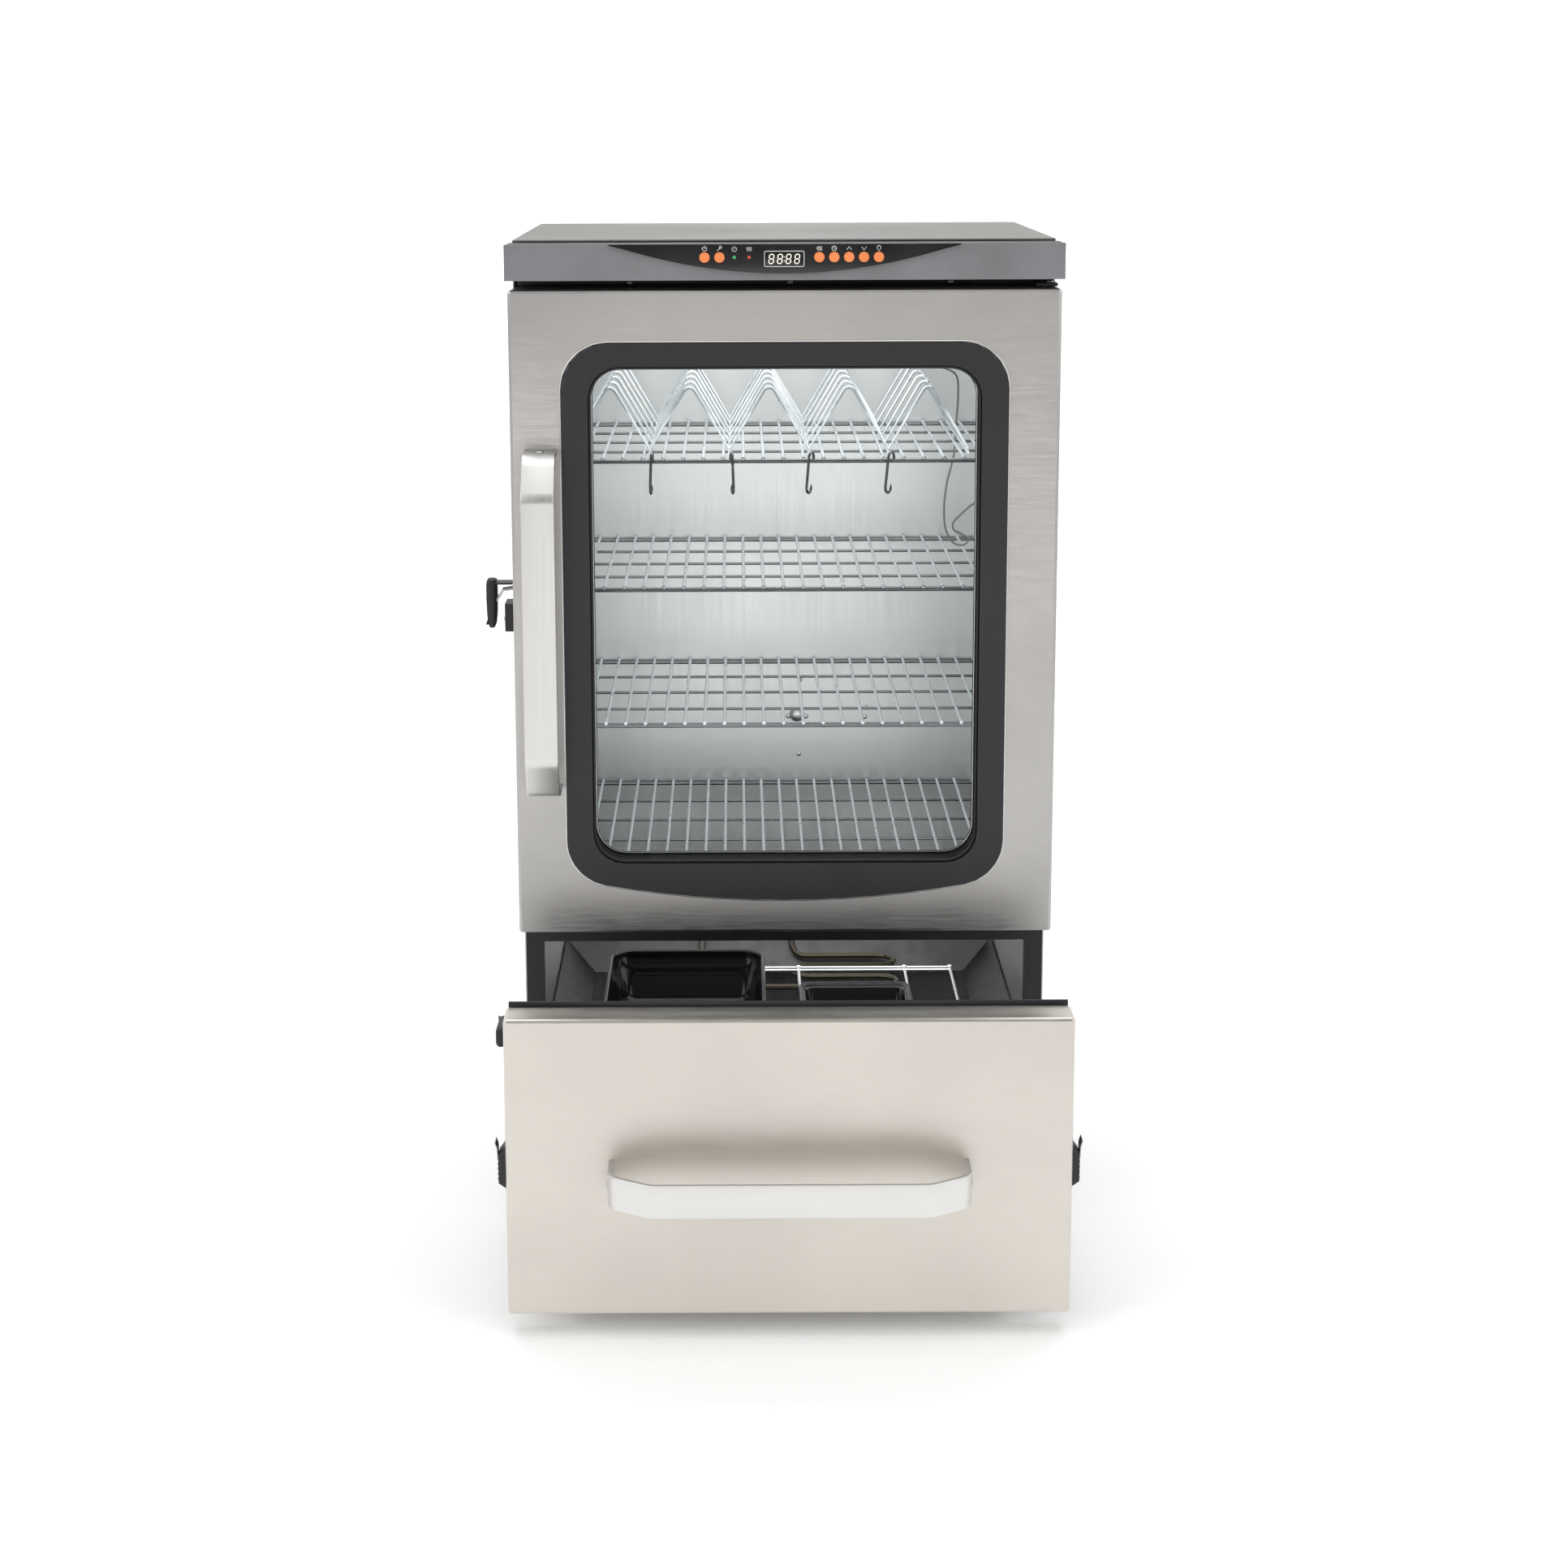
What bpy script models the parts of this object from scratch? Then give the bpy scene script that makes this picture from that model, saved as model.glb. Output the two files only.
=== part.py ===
"""Electric cabinet smoker: glazed door, pull-out pan drawer, wire racks and a control panel.

Metres, +Z up. +X is to the right of someone facing the door, and -Y is towards them.
The origin is on the floor, midway between the drawer handle and the rear of the cabinet, with the
drawer drawn out. Shapes are laid out from the front plane of the cabinet, where y is 0, and the
whole smoker is then shifted by FRONT_Y.
"""

import math

import bmesh
import bpy
from mathutils import Matrix, Vector

GAP = 0.0003  # between pieces that rest on each other
CORNER_STEPS = 5  # straight steps in each rounded corner

# Cabinet
HALF_WIDTH = 0.264
DEPTH = 0.385
TOP = 1.023
BASE = 0.024
SHEET = 0.0012
FRAME_DEPTH = 0.018
CHAMBER_HALF = 0.247
CHAMBER_BACK = 0.350
CHAMBER_TOP = 0.966
MULLION_LOW = 0.314
MULLION_HIGH = 0.341
DOORWAY_HALF = 0.238
DRAWER_BAY_HALF = 0.2455

# Door and drawer
FACE = 0.045  # door and drawer faces stand this far in front of the cabinet
LEAF_HALF = 0.266
LEAF_BACK = 0.009
DOOR_LOW = 0.337
DOOR_HIGH = 0.977
DRAWER_LOW = 0.024
DRAWER_HIGH = 0.316
DRAWER_OUT = 0.200
HINGE_X = 0.257
HINGE_Y = -0.016
PIN_RADIUS = 0.004

# Window
WINDOW_HALF = 0.190
WINDOW_LOW = 0.410
WINDOW_HIGH = 0.904
WINDOW_CORNER = 0.031
TRIM_HALF = 0.2155
TRIM_HIGH = 0.926
TRIM_LOW = 0.387
TRIM_LEAN = 10.0  # degrees, the slope of its foot where a lower corner ends
TRIM_CORNER = 0.045
TRIM_PROUD = 0.005

# Handles, the same strip on the door and on the drawer
HANDLE_HALF = 0.169
HANDLE_FLAT_HALF = 0.129
HANDLE_FOOT = 0.038
HANDLE_REACH = 0.063
HANDLE_WIDTH = 0.032
HANDLE_SHEET = 0.0045
DOOR_HANDLE_X = -0.236
DOOR_HANDLE_Z = 0.655
DRAWER_HANDLE_Z = 0.163

# Control panel
FASCIA_HALF = 0.2685
FASCIA_LOW = 0.986
FASCIA_HIGH = 1.0205
OVERLAY_HALF = 0.1685
OVERLAY_DROP = 0.028
OVERLAY_SHEET = 0.003
BUTTON_RADIUS = 0.005
BUTTON_TRAVEL = 0.001
BUTTON_Z = 1.008
BUTTON_PITCH = 0.0142
LEFT_BUTTON_X = -0.0766
RIGHT_BUTTON_X = 0.033

# Racks
WIRE = 0.004
SHELF_HEIGHTS = (0.805, 0.675, 0.535, 0.394)
SHELF_HALF = 0.2355
SHELF_FRONT = 0.026
SHELF_BACK = 0.346
BAR_PITCH = 0.040
RIB_X = -0.014
RIB_PITCH = 0.0795
RIB_PEAKS = 5
RIB_RISE = 0.061
RIB_ROWS = 6
RIB_ROW_PITCH = 0.056
RIB_FRONT = 0.040
HOOK_SIDE_STEP = 0.002
HOOK_WIRE = 0.0014

# Drip hopper, heating element, drawer cradle and pans
HOPPER_HIGH = 0.205
HOPPER_LOW = 0.172
HOPPER_TAPER = 0.861
ELEMENT_Z = 0.192
ELEMENT_RADIUS = 0.0033
ELEMENT_LEFT = 0.014
ELEMENT_RIGHT = 0.130
ELEMENT_ROW_PITCH = 0.037
CRADLE_Z = 0.243
CRADLE_HALF = 0.181
CRADLE_BACK = 0.128
PAN_X = -0.101
PAN_HALF = 0.082
PAN_BACK = 0.120
PAN_LENGTH = 0.300
PAN_HIGH = 0.267
PAN_LOW = 0.212
CHIP_X = 0.074
CHIP_HALF = 0.0585
CHIP_BACK = 0.062
CHIP_LENGTH = 0.150
CHIP_HIGH = 0.250
CHIP_LOW = 0.211
TRAY_HALF = 0.222
TRAY_HIGH = 0.118
TRAY_LOW = 0.050
TRAY_BACK = 0.140
LIP_HALF = 0.238

# Side latches: a J-shaped lever that swings on a base plate
LATCH_Y = 0.018
LATCH_WIDTH = 0.018
LATCH_REACH = 0.297
DOOR_LATCH_Z = 0.677
DRAWER_LATCH_Z = 0.207
STRIKE_Z = 0.168

# Meat probe lead: from the jack in the right wall to the handle of the probe
PROBE_WIRE = 0.0011
JACK_Z = 0.735
LEAD_Y = 0.250
PROBE_HANDLE_START = 0.208
PROBE_HANDLE_END = 0.243
PROBE_TIP = 0.335
PROBE_HANDLE_RADIUS = 0.0035
LEAD_STEP = 0.006

FRONT_REACH = FACE + DRAWER_OUT + HANDLE_REACH
BACK_REACH = DEPTH + 0.003
FRONT_Y = (FRONT_REACH - BACK_REACH) / 2

PLANES = {
    "XY": (0.0, 0.0, 0.0),
    "XZ": (math.pi / 2, 0.0, 0.0),
    "YZ": (math.pi / 2, 0.0, math.pi / 2),
}
NORMALS = {"XY": 2, "XZ": 1, "YZ": 0}


def clear_scene():
    for item in list(bpy.data.objects):
        bpy.data.objects.remove(item)


def new_collection(name):
    collection = bpy.data.collections.new(name)
    bpy.context.scene.collection.children.link(collection)
    return collection


def finish(name, colour, roughness, metallic=0.0, alpha=1.0):
    made = bpy.data.materials.new(name)
    made.use_nodes = True
    shader = made.node_tree.nodes["Principled BSDF"]
    shader.inputs["Base Color"].default_value = (*colour, 1.0)
    shader.inputs["Roughness"].default_value = roughness
    shader.inputs["Metallic"].default_value = metallic
    shader.inputs["Alpha"].default_value = alpha
    return made


clear_scene()
SMOKER = new_collection("electric_cabinet_smoker")
CUTTERS = new_collection("cutters")

STAINLESS = finish("stainless", (0.62, 0.60, 0.57), 0.32, 1.0)
GREY_PAINT = finish("grey_paint", (0.22, 0.22, 0.24), 0.45, 0.3)
BLACK_STEEL = finish("black_steel", (0.025, 0.025, 0.03), 0.5, 0.2)
CHARCOAL = finish("charcoal", (0.09, 0.09, 0.10), 0.4, 0.3)
GALVANISED = finish("galvanised", (0.30, 0.31, 0.32), 0.45, 0.9)
CHROME = finish("chrome", (0.80, 0.80, 0.82), 0.12, 1.0)
ENAMEL = finish("enamel", (0.008, 0.008, 0.009), 0.08)
GLOSS_BLACK = finish("gloss_black", (0.012, 0.012, 0.014), 0.12)
ORANGE = finish("orange_button", (0.92, 0.33, 0.11), 0.4)
GLASS = finish("glass", (0.9, 0.95, 0.95), 0.02, 0.0, 0.2)
SEAL = finish("seal", (0.03, 0.03, 0.03), 0.8)
CIRCUIT = finish("circuit_board", (0.03, 0.20, 0.08), 0.5)
ELEMENT = finish("element_sheath", (0.06, 0.055, 0.045), 0.5, 0.6)
LEAD = finish("braided_lead", (0.35, 0.34, 0.30), 0.5, 0.7)


def make_body(name, axis_point=(0.0, 0.0, 0.0), parent=None):
    """An empty that carries the pieces of one rigid body, standing on its joint's axis."""
    empty = bpy.data.objects.new(name, None)
    SMOKER.objects.link(empty)
    empty.location = axis_point
    if parent is not None:
        empty.parent = parent
        empty.matrix_parent_inverse = Matrix.Translation(parent.location).inverted()
    return empty


def place(item, body, look):
    """Files the piece, colours it and hangs it on its body, keeping the cabinet's coordinates."""
    SMOKER.objects.link(item)
    item.data.materials.clear()
    item.data.materials.append(look)
    item.parent = body
    item.matrix_parent_inverse = Matrix.Translation(body.location).inverted()
    return item


def mesh_object(name, shape):
    mesh = bpy.data.meshes.new(name)
    shape.to_mesh(mesh)
    shape.free()
    return bpy.data.objects.new(name, mesh)


def bevel(item, width, segments=2):
    rounding = item.modifiers.new("rounding", "BEVEL")
    rounding.width = width
    rounding.segments = segments
    rounding.limit_method = "ANGLE"
    return item


def solidify(item, thickness, offset=-1.0):
    wall = item.modifiers.new("wall", "SOLIDIFY")
    wall.thickness = thickness
    wall.offset = offset
    wall.use_even_offset = True
    return item


def smooth(item):
    item.data.shade_smooth()
    item.data.set_sharp_from_angle(angle=math.radians(35))
    return item


def cube_object(name, low, high):
    low, high = Vector(low), Vector(high)
    shape = bmesh.new()
    bmesh.ops.create_cube(shape, size=1.0)
    bmesh.ops.scale(shape, vec=high - low, verts=shape.verts)
    item = mesh_object(name, shape)
    item.location = (low + high) / 2
    return item


def block(name, low, high, body, look, rounding=0.0):
    item = place(cube_object(name, low, high), body, look)
    return bevel(item, rounding) if rounding else item


def drum(name, radius, low, high, axis, body, look, sides=20):
    """A cylinder from low to high, two points along the axis X, Y or Z."""
    low, high = Vector(low), Vector(high)
    shape = bmesh.new()
    bmesh.ops.create_cone(
        shape,
        cap_ends=True,
        segments=sides,
        radius1=radius,
        radius2=radius,
        depth=(high - low).length,
    )
    item = mesh_object(name, shape)
    item.location = (low + high) / 2
    item.rotation_euler = {"X": (0, math.pi / 2, 0), "Y": (math.pi / 2, 0, 0), "Z": (0, 0, 0)}[axis]
    return smooth(place(item, body, look))


def flat_curve(name, outline, thickness, plane, at, holes=()):
    """A flat outline in the named plane, centred at that height across it, with its holes."""
    curve = bpy.data.curves.new(name, "CURVE")
    curve.dimensions = "2D"
    curve.fill_mode = "BOTH"
    curve.extrude = thickness / 2
    for loop in (outline, *holes):
        spline = curve.splines.new("POLY")
        spline.points.add(len(loop) - 1)
        for point, (u, v) in zip(spline.points, loop):
            point.co = (u, v, 0.0, 1.0)
        spline.use_cyclic_u = True
    item = bpy.data.objects.new(name, curve)
    item.rotation_euler = PLANES[plane]
    item.location[NORMALS[plane]] = at
    return item


def plate(name, outline, thickness, plane, at, body, look, holes=()):
    return place(flat_curve(name, outline, thickness, plane, at, holes), body, look)


def sheet_object(name, path, axis, span, thickness, offset=-1.0):
    """A sheet folded along a path of points across the axis, and as wide as span along it."""
    others = [i for i in range(3) if i != axis]
    shape = bmesh.new()
    corners = []
    for u, v in path:
        point = Vector((0.0, 0.0, 0.0))
        point[others[0]], point[others[1]], point[axis] = u, v, span[0]
        corners.append(shape.verts.new(point))
    edges = [shape.edges.new(pair) for pair in zip(corners, corners[1:])]
    grown = bmesh.ops.extrude_edge_only(shape, edges=edges)
    across = Vector((0.0, 0.0, 0.0))
    across[axis] = span[1] - span[0]
    moved = [part for part in grown["geom"] if isinstance(part, bmesh.types.BMVert)]
    bmesh.ops.translate(shape, vec=across, verts=moved)
    return solidify(mesh_object(name, shape), thickness, offset)


def folded_sheet(name, path, axis, span, thickness, body, look, offset=-1.0):
    return place(sheet_object(name, path, axis, span, thickness, offset), body, look)


def tube(name, points, radius, body, look):
    curve = bpy.data.curves.new(name, "CURVE")
    curve.dimensions = "3D"
    curve.bevel_depth = radius
    curve.bevel_resolution = 2
    curve.use_fill_caps = True
    spline = curve.splines.new("POLY")
    spline.points.add(len(points) - 1)
    for point, place_at in zip(spline.points, points):
        point.co = (*place_at, 1.0)
    return place(bpy.data.objects.new(name, curve), body, look)


def as_cutter(item, target):
    """Cuts the item, a mesh object, out of the target."""
    CUTTERS.objects.link(item)
    item.parent = target.parent
    item.matrix_parent_inverse = target.matrix_parent_inverse.copy()
    item.hide_render = True
    item.display_type = "WIRE"
    cut = target.modifiers.new(item.name, "BOOLEAN")
    cut.object = item
    cut.operation = "DIFFERENCE"
    return target


def meshed(item):
    """The curve object as a mesh object with welded caps."""
    bpy.context.scene.collection.objects.link(item)
    bpy.context.view_layer.update()
    evaluated = item.evaluated_get(bpy.context.evaluated_depsgraph_get())
    mesh = bpy.data.meshes.new_from_object(evaluated)
    shape = bmesh.new()
    shape.from_mesh(mesh)
    bmesh.ops.remove_doubles(shape, verts=shape.verts, dist=1e-6)
    bmesh.ops.recalc_face_normals(shape, faces=shape.faces)
    shape.to_mesh(mesh)
    shape.free()
    made = bpy.data.objects.new(item.name + "_mesh", mesh)
    made.matrix_world = item.matrix_world.copy()
    bpy.data.objects.remove(item)
    return made


def arc(centre, radius, start_degrees, end_degrees, steps):
    """Points round an arc, both ends included."""
    points = []
    for i in range(steps + 1):
        angle = math.radians(start_degrees + (end_degrees - start_degrees) * i / steps)
        points.append((centre[0] + radius * math.cos(angle), centre[1] + radius * math.sin(angle)))
    return points


def rounded_rectangle(left, right, low, high, radius, steps=CORNER_STEPS):
    return [
        *arc((right - radius, high - radius), radius, 0, 90, steps),
        *arc((left + radius, high - radius), radius, 90, 180, steps),
        *arc((left + radius, low + radius), radius, 180, 270, steps),
        *arc((right - radius, low + radius), radius, 270, 360, steps),
    ]


def rectangle(left, right, low, high):
    return [(left, low), (right, low), (right, high), (left, high)]


def mirrored(points, side):
    """The outline on the left side, -1, or the right side, +1, of the cabinet."""
    return [(side * u, v) for u, v in points]


def smooth_route(anchors, step):
    """Points about a step apart along a Catmull-Rom curve through the anchors."""
    anchors = [Vector(a) for a in anchors]
    padded = [2 * anchors[0] - anchors[1], *anchors, 2 * anchors[-1] - anchors[-2]]
    route = [anchors[0]]
    for a, b, c, d in zip(padded, padded[1:], padded[2:], padded[3:]):
        pieces = max(1, round((c - b).length / step))
        for i in range(1, pieces + 1):
            t = i / pieces
            route.append(
                0.5 * (2 * b + (c - a) * t + (2 * a - 5 * b + 4 * c - d) * t * t
                       + (3 * b - a - 3 * c + d) * t ** 3)
            )
    return route


def shell_leaf(name, low, high, front, back, body, look):
    """A sheet-metal pan with a front face and four flanges, open at the back."""
    item = cube_object(name, (-LEAF_HALF, front, low), (LEAF_HALF, back, high))
    shape = bmesh.new()
    shape.from_mesh(item.data)
    rear = [face for face in shape.faces if face.normal.y > 0.5]
    bmesh.ops.delete(shape, geom=rear, context="FACES_ONLY")
    shape.to_mesh(item.data)
    shape.free()
    bevel(item, 0.003)
    return solidify(place(item, body, look), SHEET)


def tray(name, centre, sections, body, look):
    """A pan of stacked rounded rectangles: half width, half length, height and corner radius."""
    shape = bmesh.new()
    rings = []
    for half_x, half_y, height, radius in sections:
        outline = rounded_rectangle(-half_x, half_x, -half_y, half_y, radius, 4)
        rings.append([shape.verts.new((x, y, height)) for x, y in outline])
    shape.faces.new(reversed(rings[0]))
    shape.faces.new(rings[-1])
    for lower, upper in zip(rings, rings[1:]):
        count = len(lower)
        for i in range(count):
            j = (i + 1) % count
            shape.faces.new((lower[i], lower[j], upper[j], upper[i]))
    bmesh.ops.recalc_face_normals(shape, faces=shape.faces)
    item = mesh_object(name, shape)
    item.location = (*centre, 0.0)
    return smooth(place(item, body, look))


def build_casing(cabinet):
    inner = HALF_WIDTH - SHEET
    wrap = [(-HALF_WIDTH, 0.0), (-HALF_WIDTH, DEPTH), (HALF_WIDTH, DEPTH), (HALF_WIDTH, 0.0)]
    folded_sheet("outer_wrap", wrap, 2, (BASE + GAP, TOP - 0.0033), SHEET, cabinet, STAINLESS, -1.0)
    block(
        "top_panel",
        (-HALF_WIDTH, -0.002, TOP - 0.003),
        (HALF_WIDTH, DEPTH, TOP),
        cabinet,
        STAINLESS,
        0.0012,
    )
    foot_out, foot_in, foot_edge = 0.245, 0.215, BASE - 0.004
    base = [
        (-HALF_WIDTH, BASE),
        (-HALF_WIDTH, foot_edge),
        (-foot_out, foot_edge),
        (-foot_out, 0.0),
        (-foot_in, 0.0),
        (-foot_in, foot_edge),
    ]
    outline = base + mirrored(reversed(base), -1)
    plate("base_panel", outline, DEPTH - 0.010, "XZ", DEPTH / 2 + 0.003, cabinet, BLACK_STEEL)
    side = inner - GAP
    plate(
        "front_frame",
        rectangle(-side, side, BASE + GAP, FASCIA_LOW - 0.008),
        FRAME_DEPTH,
        "XZ",
        FRAME_DEPTH / 2,
        cabinet,
        BLACK_STEEL,
        [
            rectangle(-DOORWAY_HALF, DOORWAY_HALF, MULLION_HIGH, CHAMBER_TOP),
            rectangle(-DRAWER_BAY_HALF, DRAWER_BAY_HALF, BASE + 0.008, MULLION_LOW),
        ],
    )
    front = FRAME_DEPTH + GAP
    liner = [
        (-CHAMBER_HALF, front),
        (-CHAMBER_HALF, CHAMBER_BACK),
        (CHAMBER_HALF, CHAMBER_BACK),
        (CHAMBER_HALF, front),
    ]
    folded_sheet(
        "chamber_liner", liner, 2, (BASE + GAP, CHAMBER_TOP), 0.0015, cabinet, STAINLESS, 1.0
    )
    block(
        "chamber_ceiling",
        (-CHAMBER_HALF, front, CHAMBER_TOP + GAP),
        (CHAMBER_HALF, CHAMBER_BACK, CHAMBER_TOP + 0.002),
        cabinet,
        STAINLESS,
    )


def build_hopper(cabinet):
    """A four-sided funnel that drains the chamber, with its rim against the chamber walls."""
    half_x = CHAMBER_HALF - 0.002
    front, back = FRAME_DEPTH + 0.002, CHAMBER_BACK - 0.002
    half_y = (back - front) / 2
    shape = bmesh.new()
    bmesh.ops.create_cone(
        shape,
        cap_ends=False,
        segments=4,
        radius1=math.sqrt(2) * HOPPER_TAPER,
        radius2=math.sqrt(2),
        depth=HOPPER_HIGH - HOPPER_LOW,
        matrix=Matrix.Rotation(math.pi / 4, 4, "Z"),
    )
    bmesh.ops.scale(shape, vec=(half_x, half_y, 1.0), verts=shape.verts)
    item = mesh_object("drip_hopper", shape)
    item.location = (0.0, (front + back) / 2, (HOPPER_HIGH + HOPPER_LOW) / 2)
    solidify(place(item, cabinet, GALVANISED), SHEET)


def build_rack_rails(cabinet):
    """A tall plate on each side wall, with a ledge folded out under each shelf."""
    wall, root, ledge = CHAMBER_HALF - GAP, CHAMBER_HALF - 0.0025, 0.231
    for side, name in ((-1, "rack_rail_left"), (1, "rack_rail_right")):
        outline = [(wall, 0.370), (wall, 0.830), (root, 0.830)]
        for height in SHELF_HEIGHTS:
            top = height - WIRE / 2 - GAP
            outline += [(root, top), (ledge, top), (ledge, top - 0.002), (root, top - 0.002)]
        outline.append((root, 0.370))
        depth = SHELF_BACK - SHELF_FRONT - 0.010
        middle = (SHELF_BACK + SHELF_FRONT) / 2
        plate(name, mirrored(outline, side), depth, "XZ", middle, cabinet, CHROME)


def bar_positions():
    """The left and right edge bars of a shelf, and the bars a pitch apart between them."""
    inside = int(SHELF_HALF / BAR_PITCH)
    edge = SHELF_HALF - WIRE / 2
    return [-edge, *(i * BAR_PITCH for i in range(-inside, inside + 1)), edge]


def build_shelves(cabinet):
    across = bar_positions()
    rows = 3
    first, last = SHELF_FRONT + WIRE / 2, SHELF_BACK - WIRE / 2
    along = [first + (last - first) * i / rows for i in range(rows + 1)]
    half = WIRE / 2
    holes = [
        rectangle(left + half, right - half, low + half, high - half)
        for left, right in zip(across, across[1:])
        for low, high in zip(along, along[1:])
    ]
    outline = rectangle(-SHELF_HALF, SHELF_HALF, SHELF_FRONT, SHELF_BACK)
    for number, height in enumerate(SHELF_HEIGHTS, 1):
        plate(f"shelf_{number}", outline, WIRE, "XY", height, cabinet, CHROME, holes)


def rib_valley(number):
    """Where the numbered valley of the rib rack lies across the cabinet."""
    return RIB_X + (number - (RIB_PEAKS - 2) / 2) * RIB_PITCH


def build_rib_rack(cabinet):
    """Zigzag wires one behind another, joined along their valleys, standing on the top shelf."""
    low = SHELF_HEIGHTS[0] + WIRE / 2 + GAP
    high = low + RIB_RISE
    half = RIB_PEAKS * RIB_PITCH / 2
    path = []
    for i in range(2 * RIB_PEAKS + 1):
        height = high if i % 2 else low
        path.append((RIB_X - half + i * RIB_PITCH / 2, height))
    back = RIB_FRONT + (RIB_ROWS - 1) * RIB_ROW_PITCH + WIRE
    rack = folded_sheet("rib_rack", path, 1, (RIB_FRONT, back), WIRE, cabinet, CHROME, -1.0)
    gaps = bmesh.new()
    for row in range(RIB_ROWS - 1):
        start = RIB_FRONT + WIRE + row * RIB_ROW_PITCH
        size = Vector((2 * half + 0.1, RIB_ROW_PITCH - WIRE, RIB_RISE + 0.02))
        centre = Vector((RIB_X, start + size.y / 2, low + WIRE + 0.003 + size.z / 2))
        made = bmesh.ops.create_cube(gaps, size=1.0)["verts"]
        bmesh.ops.scale(gaps, vec=size, verts=made)
        bmesh.ops.translate(gaps, vec=centre, verts=made)
    as_cutter(mesh_object("rib_rack_gaps", gaps), rack)


def hook_points(x, y, z):
    """An S-hook in a plane across the front rail: a loop over the rail and one turned up below."""
    loop, low_loop = 0.0062, 0.006
    drop = 0.028
    over = arc((y, z), loop, -40, 200, 8)
    below = arc((y - 2 * loop + 0.006, z - drop), low_loop, 180, 360, 6)
    over = over[: 8] + [(y - loop, z - 0.003)]
    return [(x, u, v) for u, v in over + below]


def build_hooks(bodies):
    height = SHELF_HEIGHTS[0]
    rail = SHELF_FRONT + WIRE / 2
    for number in range(1, RIB_PEAKS):
        x = rib_valley(number - 1) + HOOK_SIDE_STEP
        body = bodies[f"meat_hook_{number}"]
        tube(f"meat_hook_{number}", hook_points(x, rail, height), HOOK_WIRE, body, CHROME)


def build_controls(cabinet, bodies):
    front = -FACE
    block(
        "fascia",
        (-FASCIA_HALF, front, FASCIA_LOW),
        (FASCIA_HALF, front + 0.0015, FASCIA_HIGH),
        cabinet,
        GREY_PAINT,
    )
    near, far = front + 0.0015 + GAP, -0.003
    channel = [(far, FASCIA_HIGH), (near, FASCIA_HIGH), (near, FASCIA_LOW), (far, FASCIA_LOW)]
    half = FASCIA_HALF - 0.002
    folded_sheet("control_housing", channel, 0, (-half, half), SHEET, cabinet, BLACK_STEEL, 1.0)
    block(
        "control_board",
        (-0.110, near + 0.004, FASCIA_LOW + 0.005),
        (0.110, near + 0.0056, FASCIA_HIGH - 0.005),
        cabinet,
        CIRCUIT,
    )
    steps = 20
    lens = []
    for i in range(steps + 1):
        share = 1 - 2 * i / steps
        lens.append((OVERLAY_HALF * share, FASCIA_HIGH - OVERLAY_DROP * (1 - share * share)))
    lens[0], lens[-1] = (OVERLAY_HALF, FASCIA_HIGH - 0.001), (-OVERLAY_HALF, FASCIA_HIGH - 0.001)
    lens += [(-OVERLAY_HALF, FASCIA_HIGH), (OVERLAY_HALF, FASCIA_HIGH)]
    buttons = button_positions()
    holes = [arc((x, BUTTON_Z), BUTTON_RADIUS + 0.0005, 0, 330, 11) for x in buttons]
    middle = front - GAP - OVERLAY_SHEET / 2
    plate("control_overlay", lens, OVERLAY_SHEET, "XZ", middle, cabinet, GLOSS_BLACK, holes)
    back = front - GAP - BUTTON_TRAVEL - 0.0005
    for number, x in enumerate(buttons, 1):
        drum(
            f"button_{number}",
            BUTTON_RADIUS,
            (x, back - OVERLAY_SHEET, BUTTON_Z),
            (x, back, BUTTON_Z),
            "Y",
            bodies[f"button_{number}"],
            ORANGE,
            12,
        )


def button_positions():
    left = [LEFT_BUTTON_X + i * BUTTON_PITCH for i in range(2)]
    right = [RIGHT_BUTTON_X + i * BUTTON_PITCH for i in range(5)]
    return left + right


def element_route():
    """The sheathed element: rows side to side, with ends that rise over the hopper's rear rim."""
    turn = ELEMENT_ROW_PITCH / 2
    left, right = ELEMENT_LEFT + turn, ELEMENT_RIGHT - turn
    first = CHAMBER_BACK - 0.025
    rows = [first - i * ELEMENT_ROW_PITCH for i in range(4)]
    steps = 6
    bend = 0.018
    flat = [(left - turn, CHAMBER_BACK - 0.004)]
    flat += arc((left - turn + bend, first + bend), bend, 180, 270, 4)
    flat += arc((right, rows[0] - turn), turn, 90, -90, steps)
    flat += arc((left, rows[1] - turn), turn, 90, 270, steps)
    flat += arc((right, rows[2] - turn), turn, 90, -90, steps)
    away = -0.070
    flat += arc((away, rows[3] + turn), turn, 270, 180, 4)
    flat.append((away - turn, CHAMBER_BACK - 0.004))
    return [(x, y, ELEMENT_Z + max(0.0, y - first - 0.003)) for x, y in flat]


def build_heating(cabinet):
    tube("heating_element", element_route(), ELEMENT_RADIUS, cabinet, ELEMENT)
    block(
        "power_inlet",
        (0.150, DEPTH + GAP, 0.075),
        (0.180, BACK_REACH, 0.100),
        cabinet,
        BLACK_STEEL,
        0.001,
    )


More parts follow.
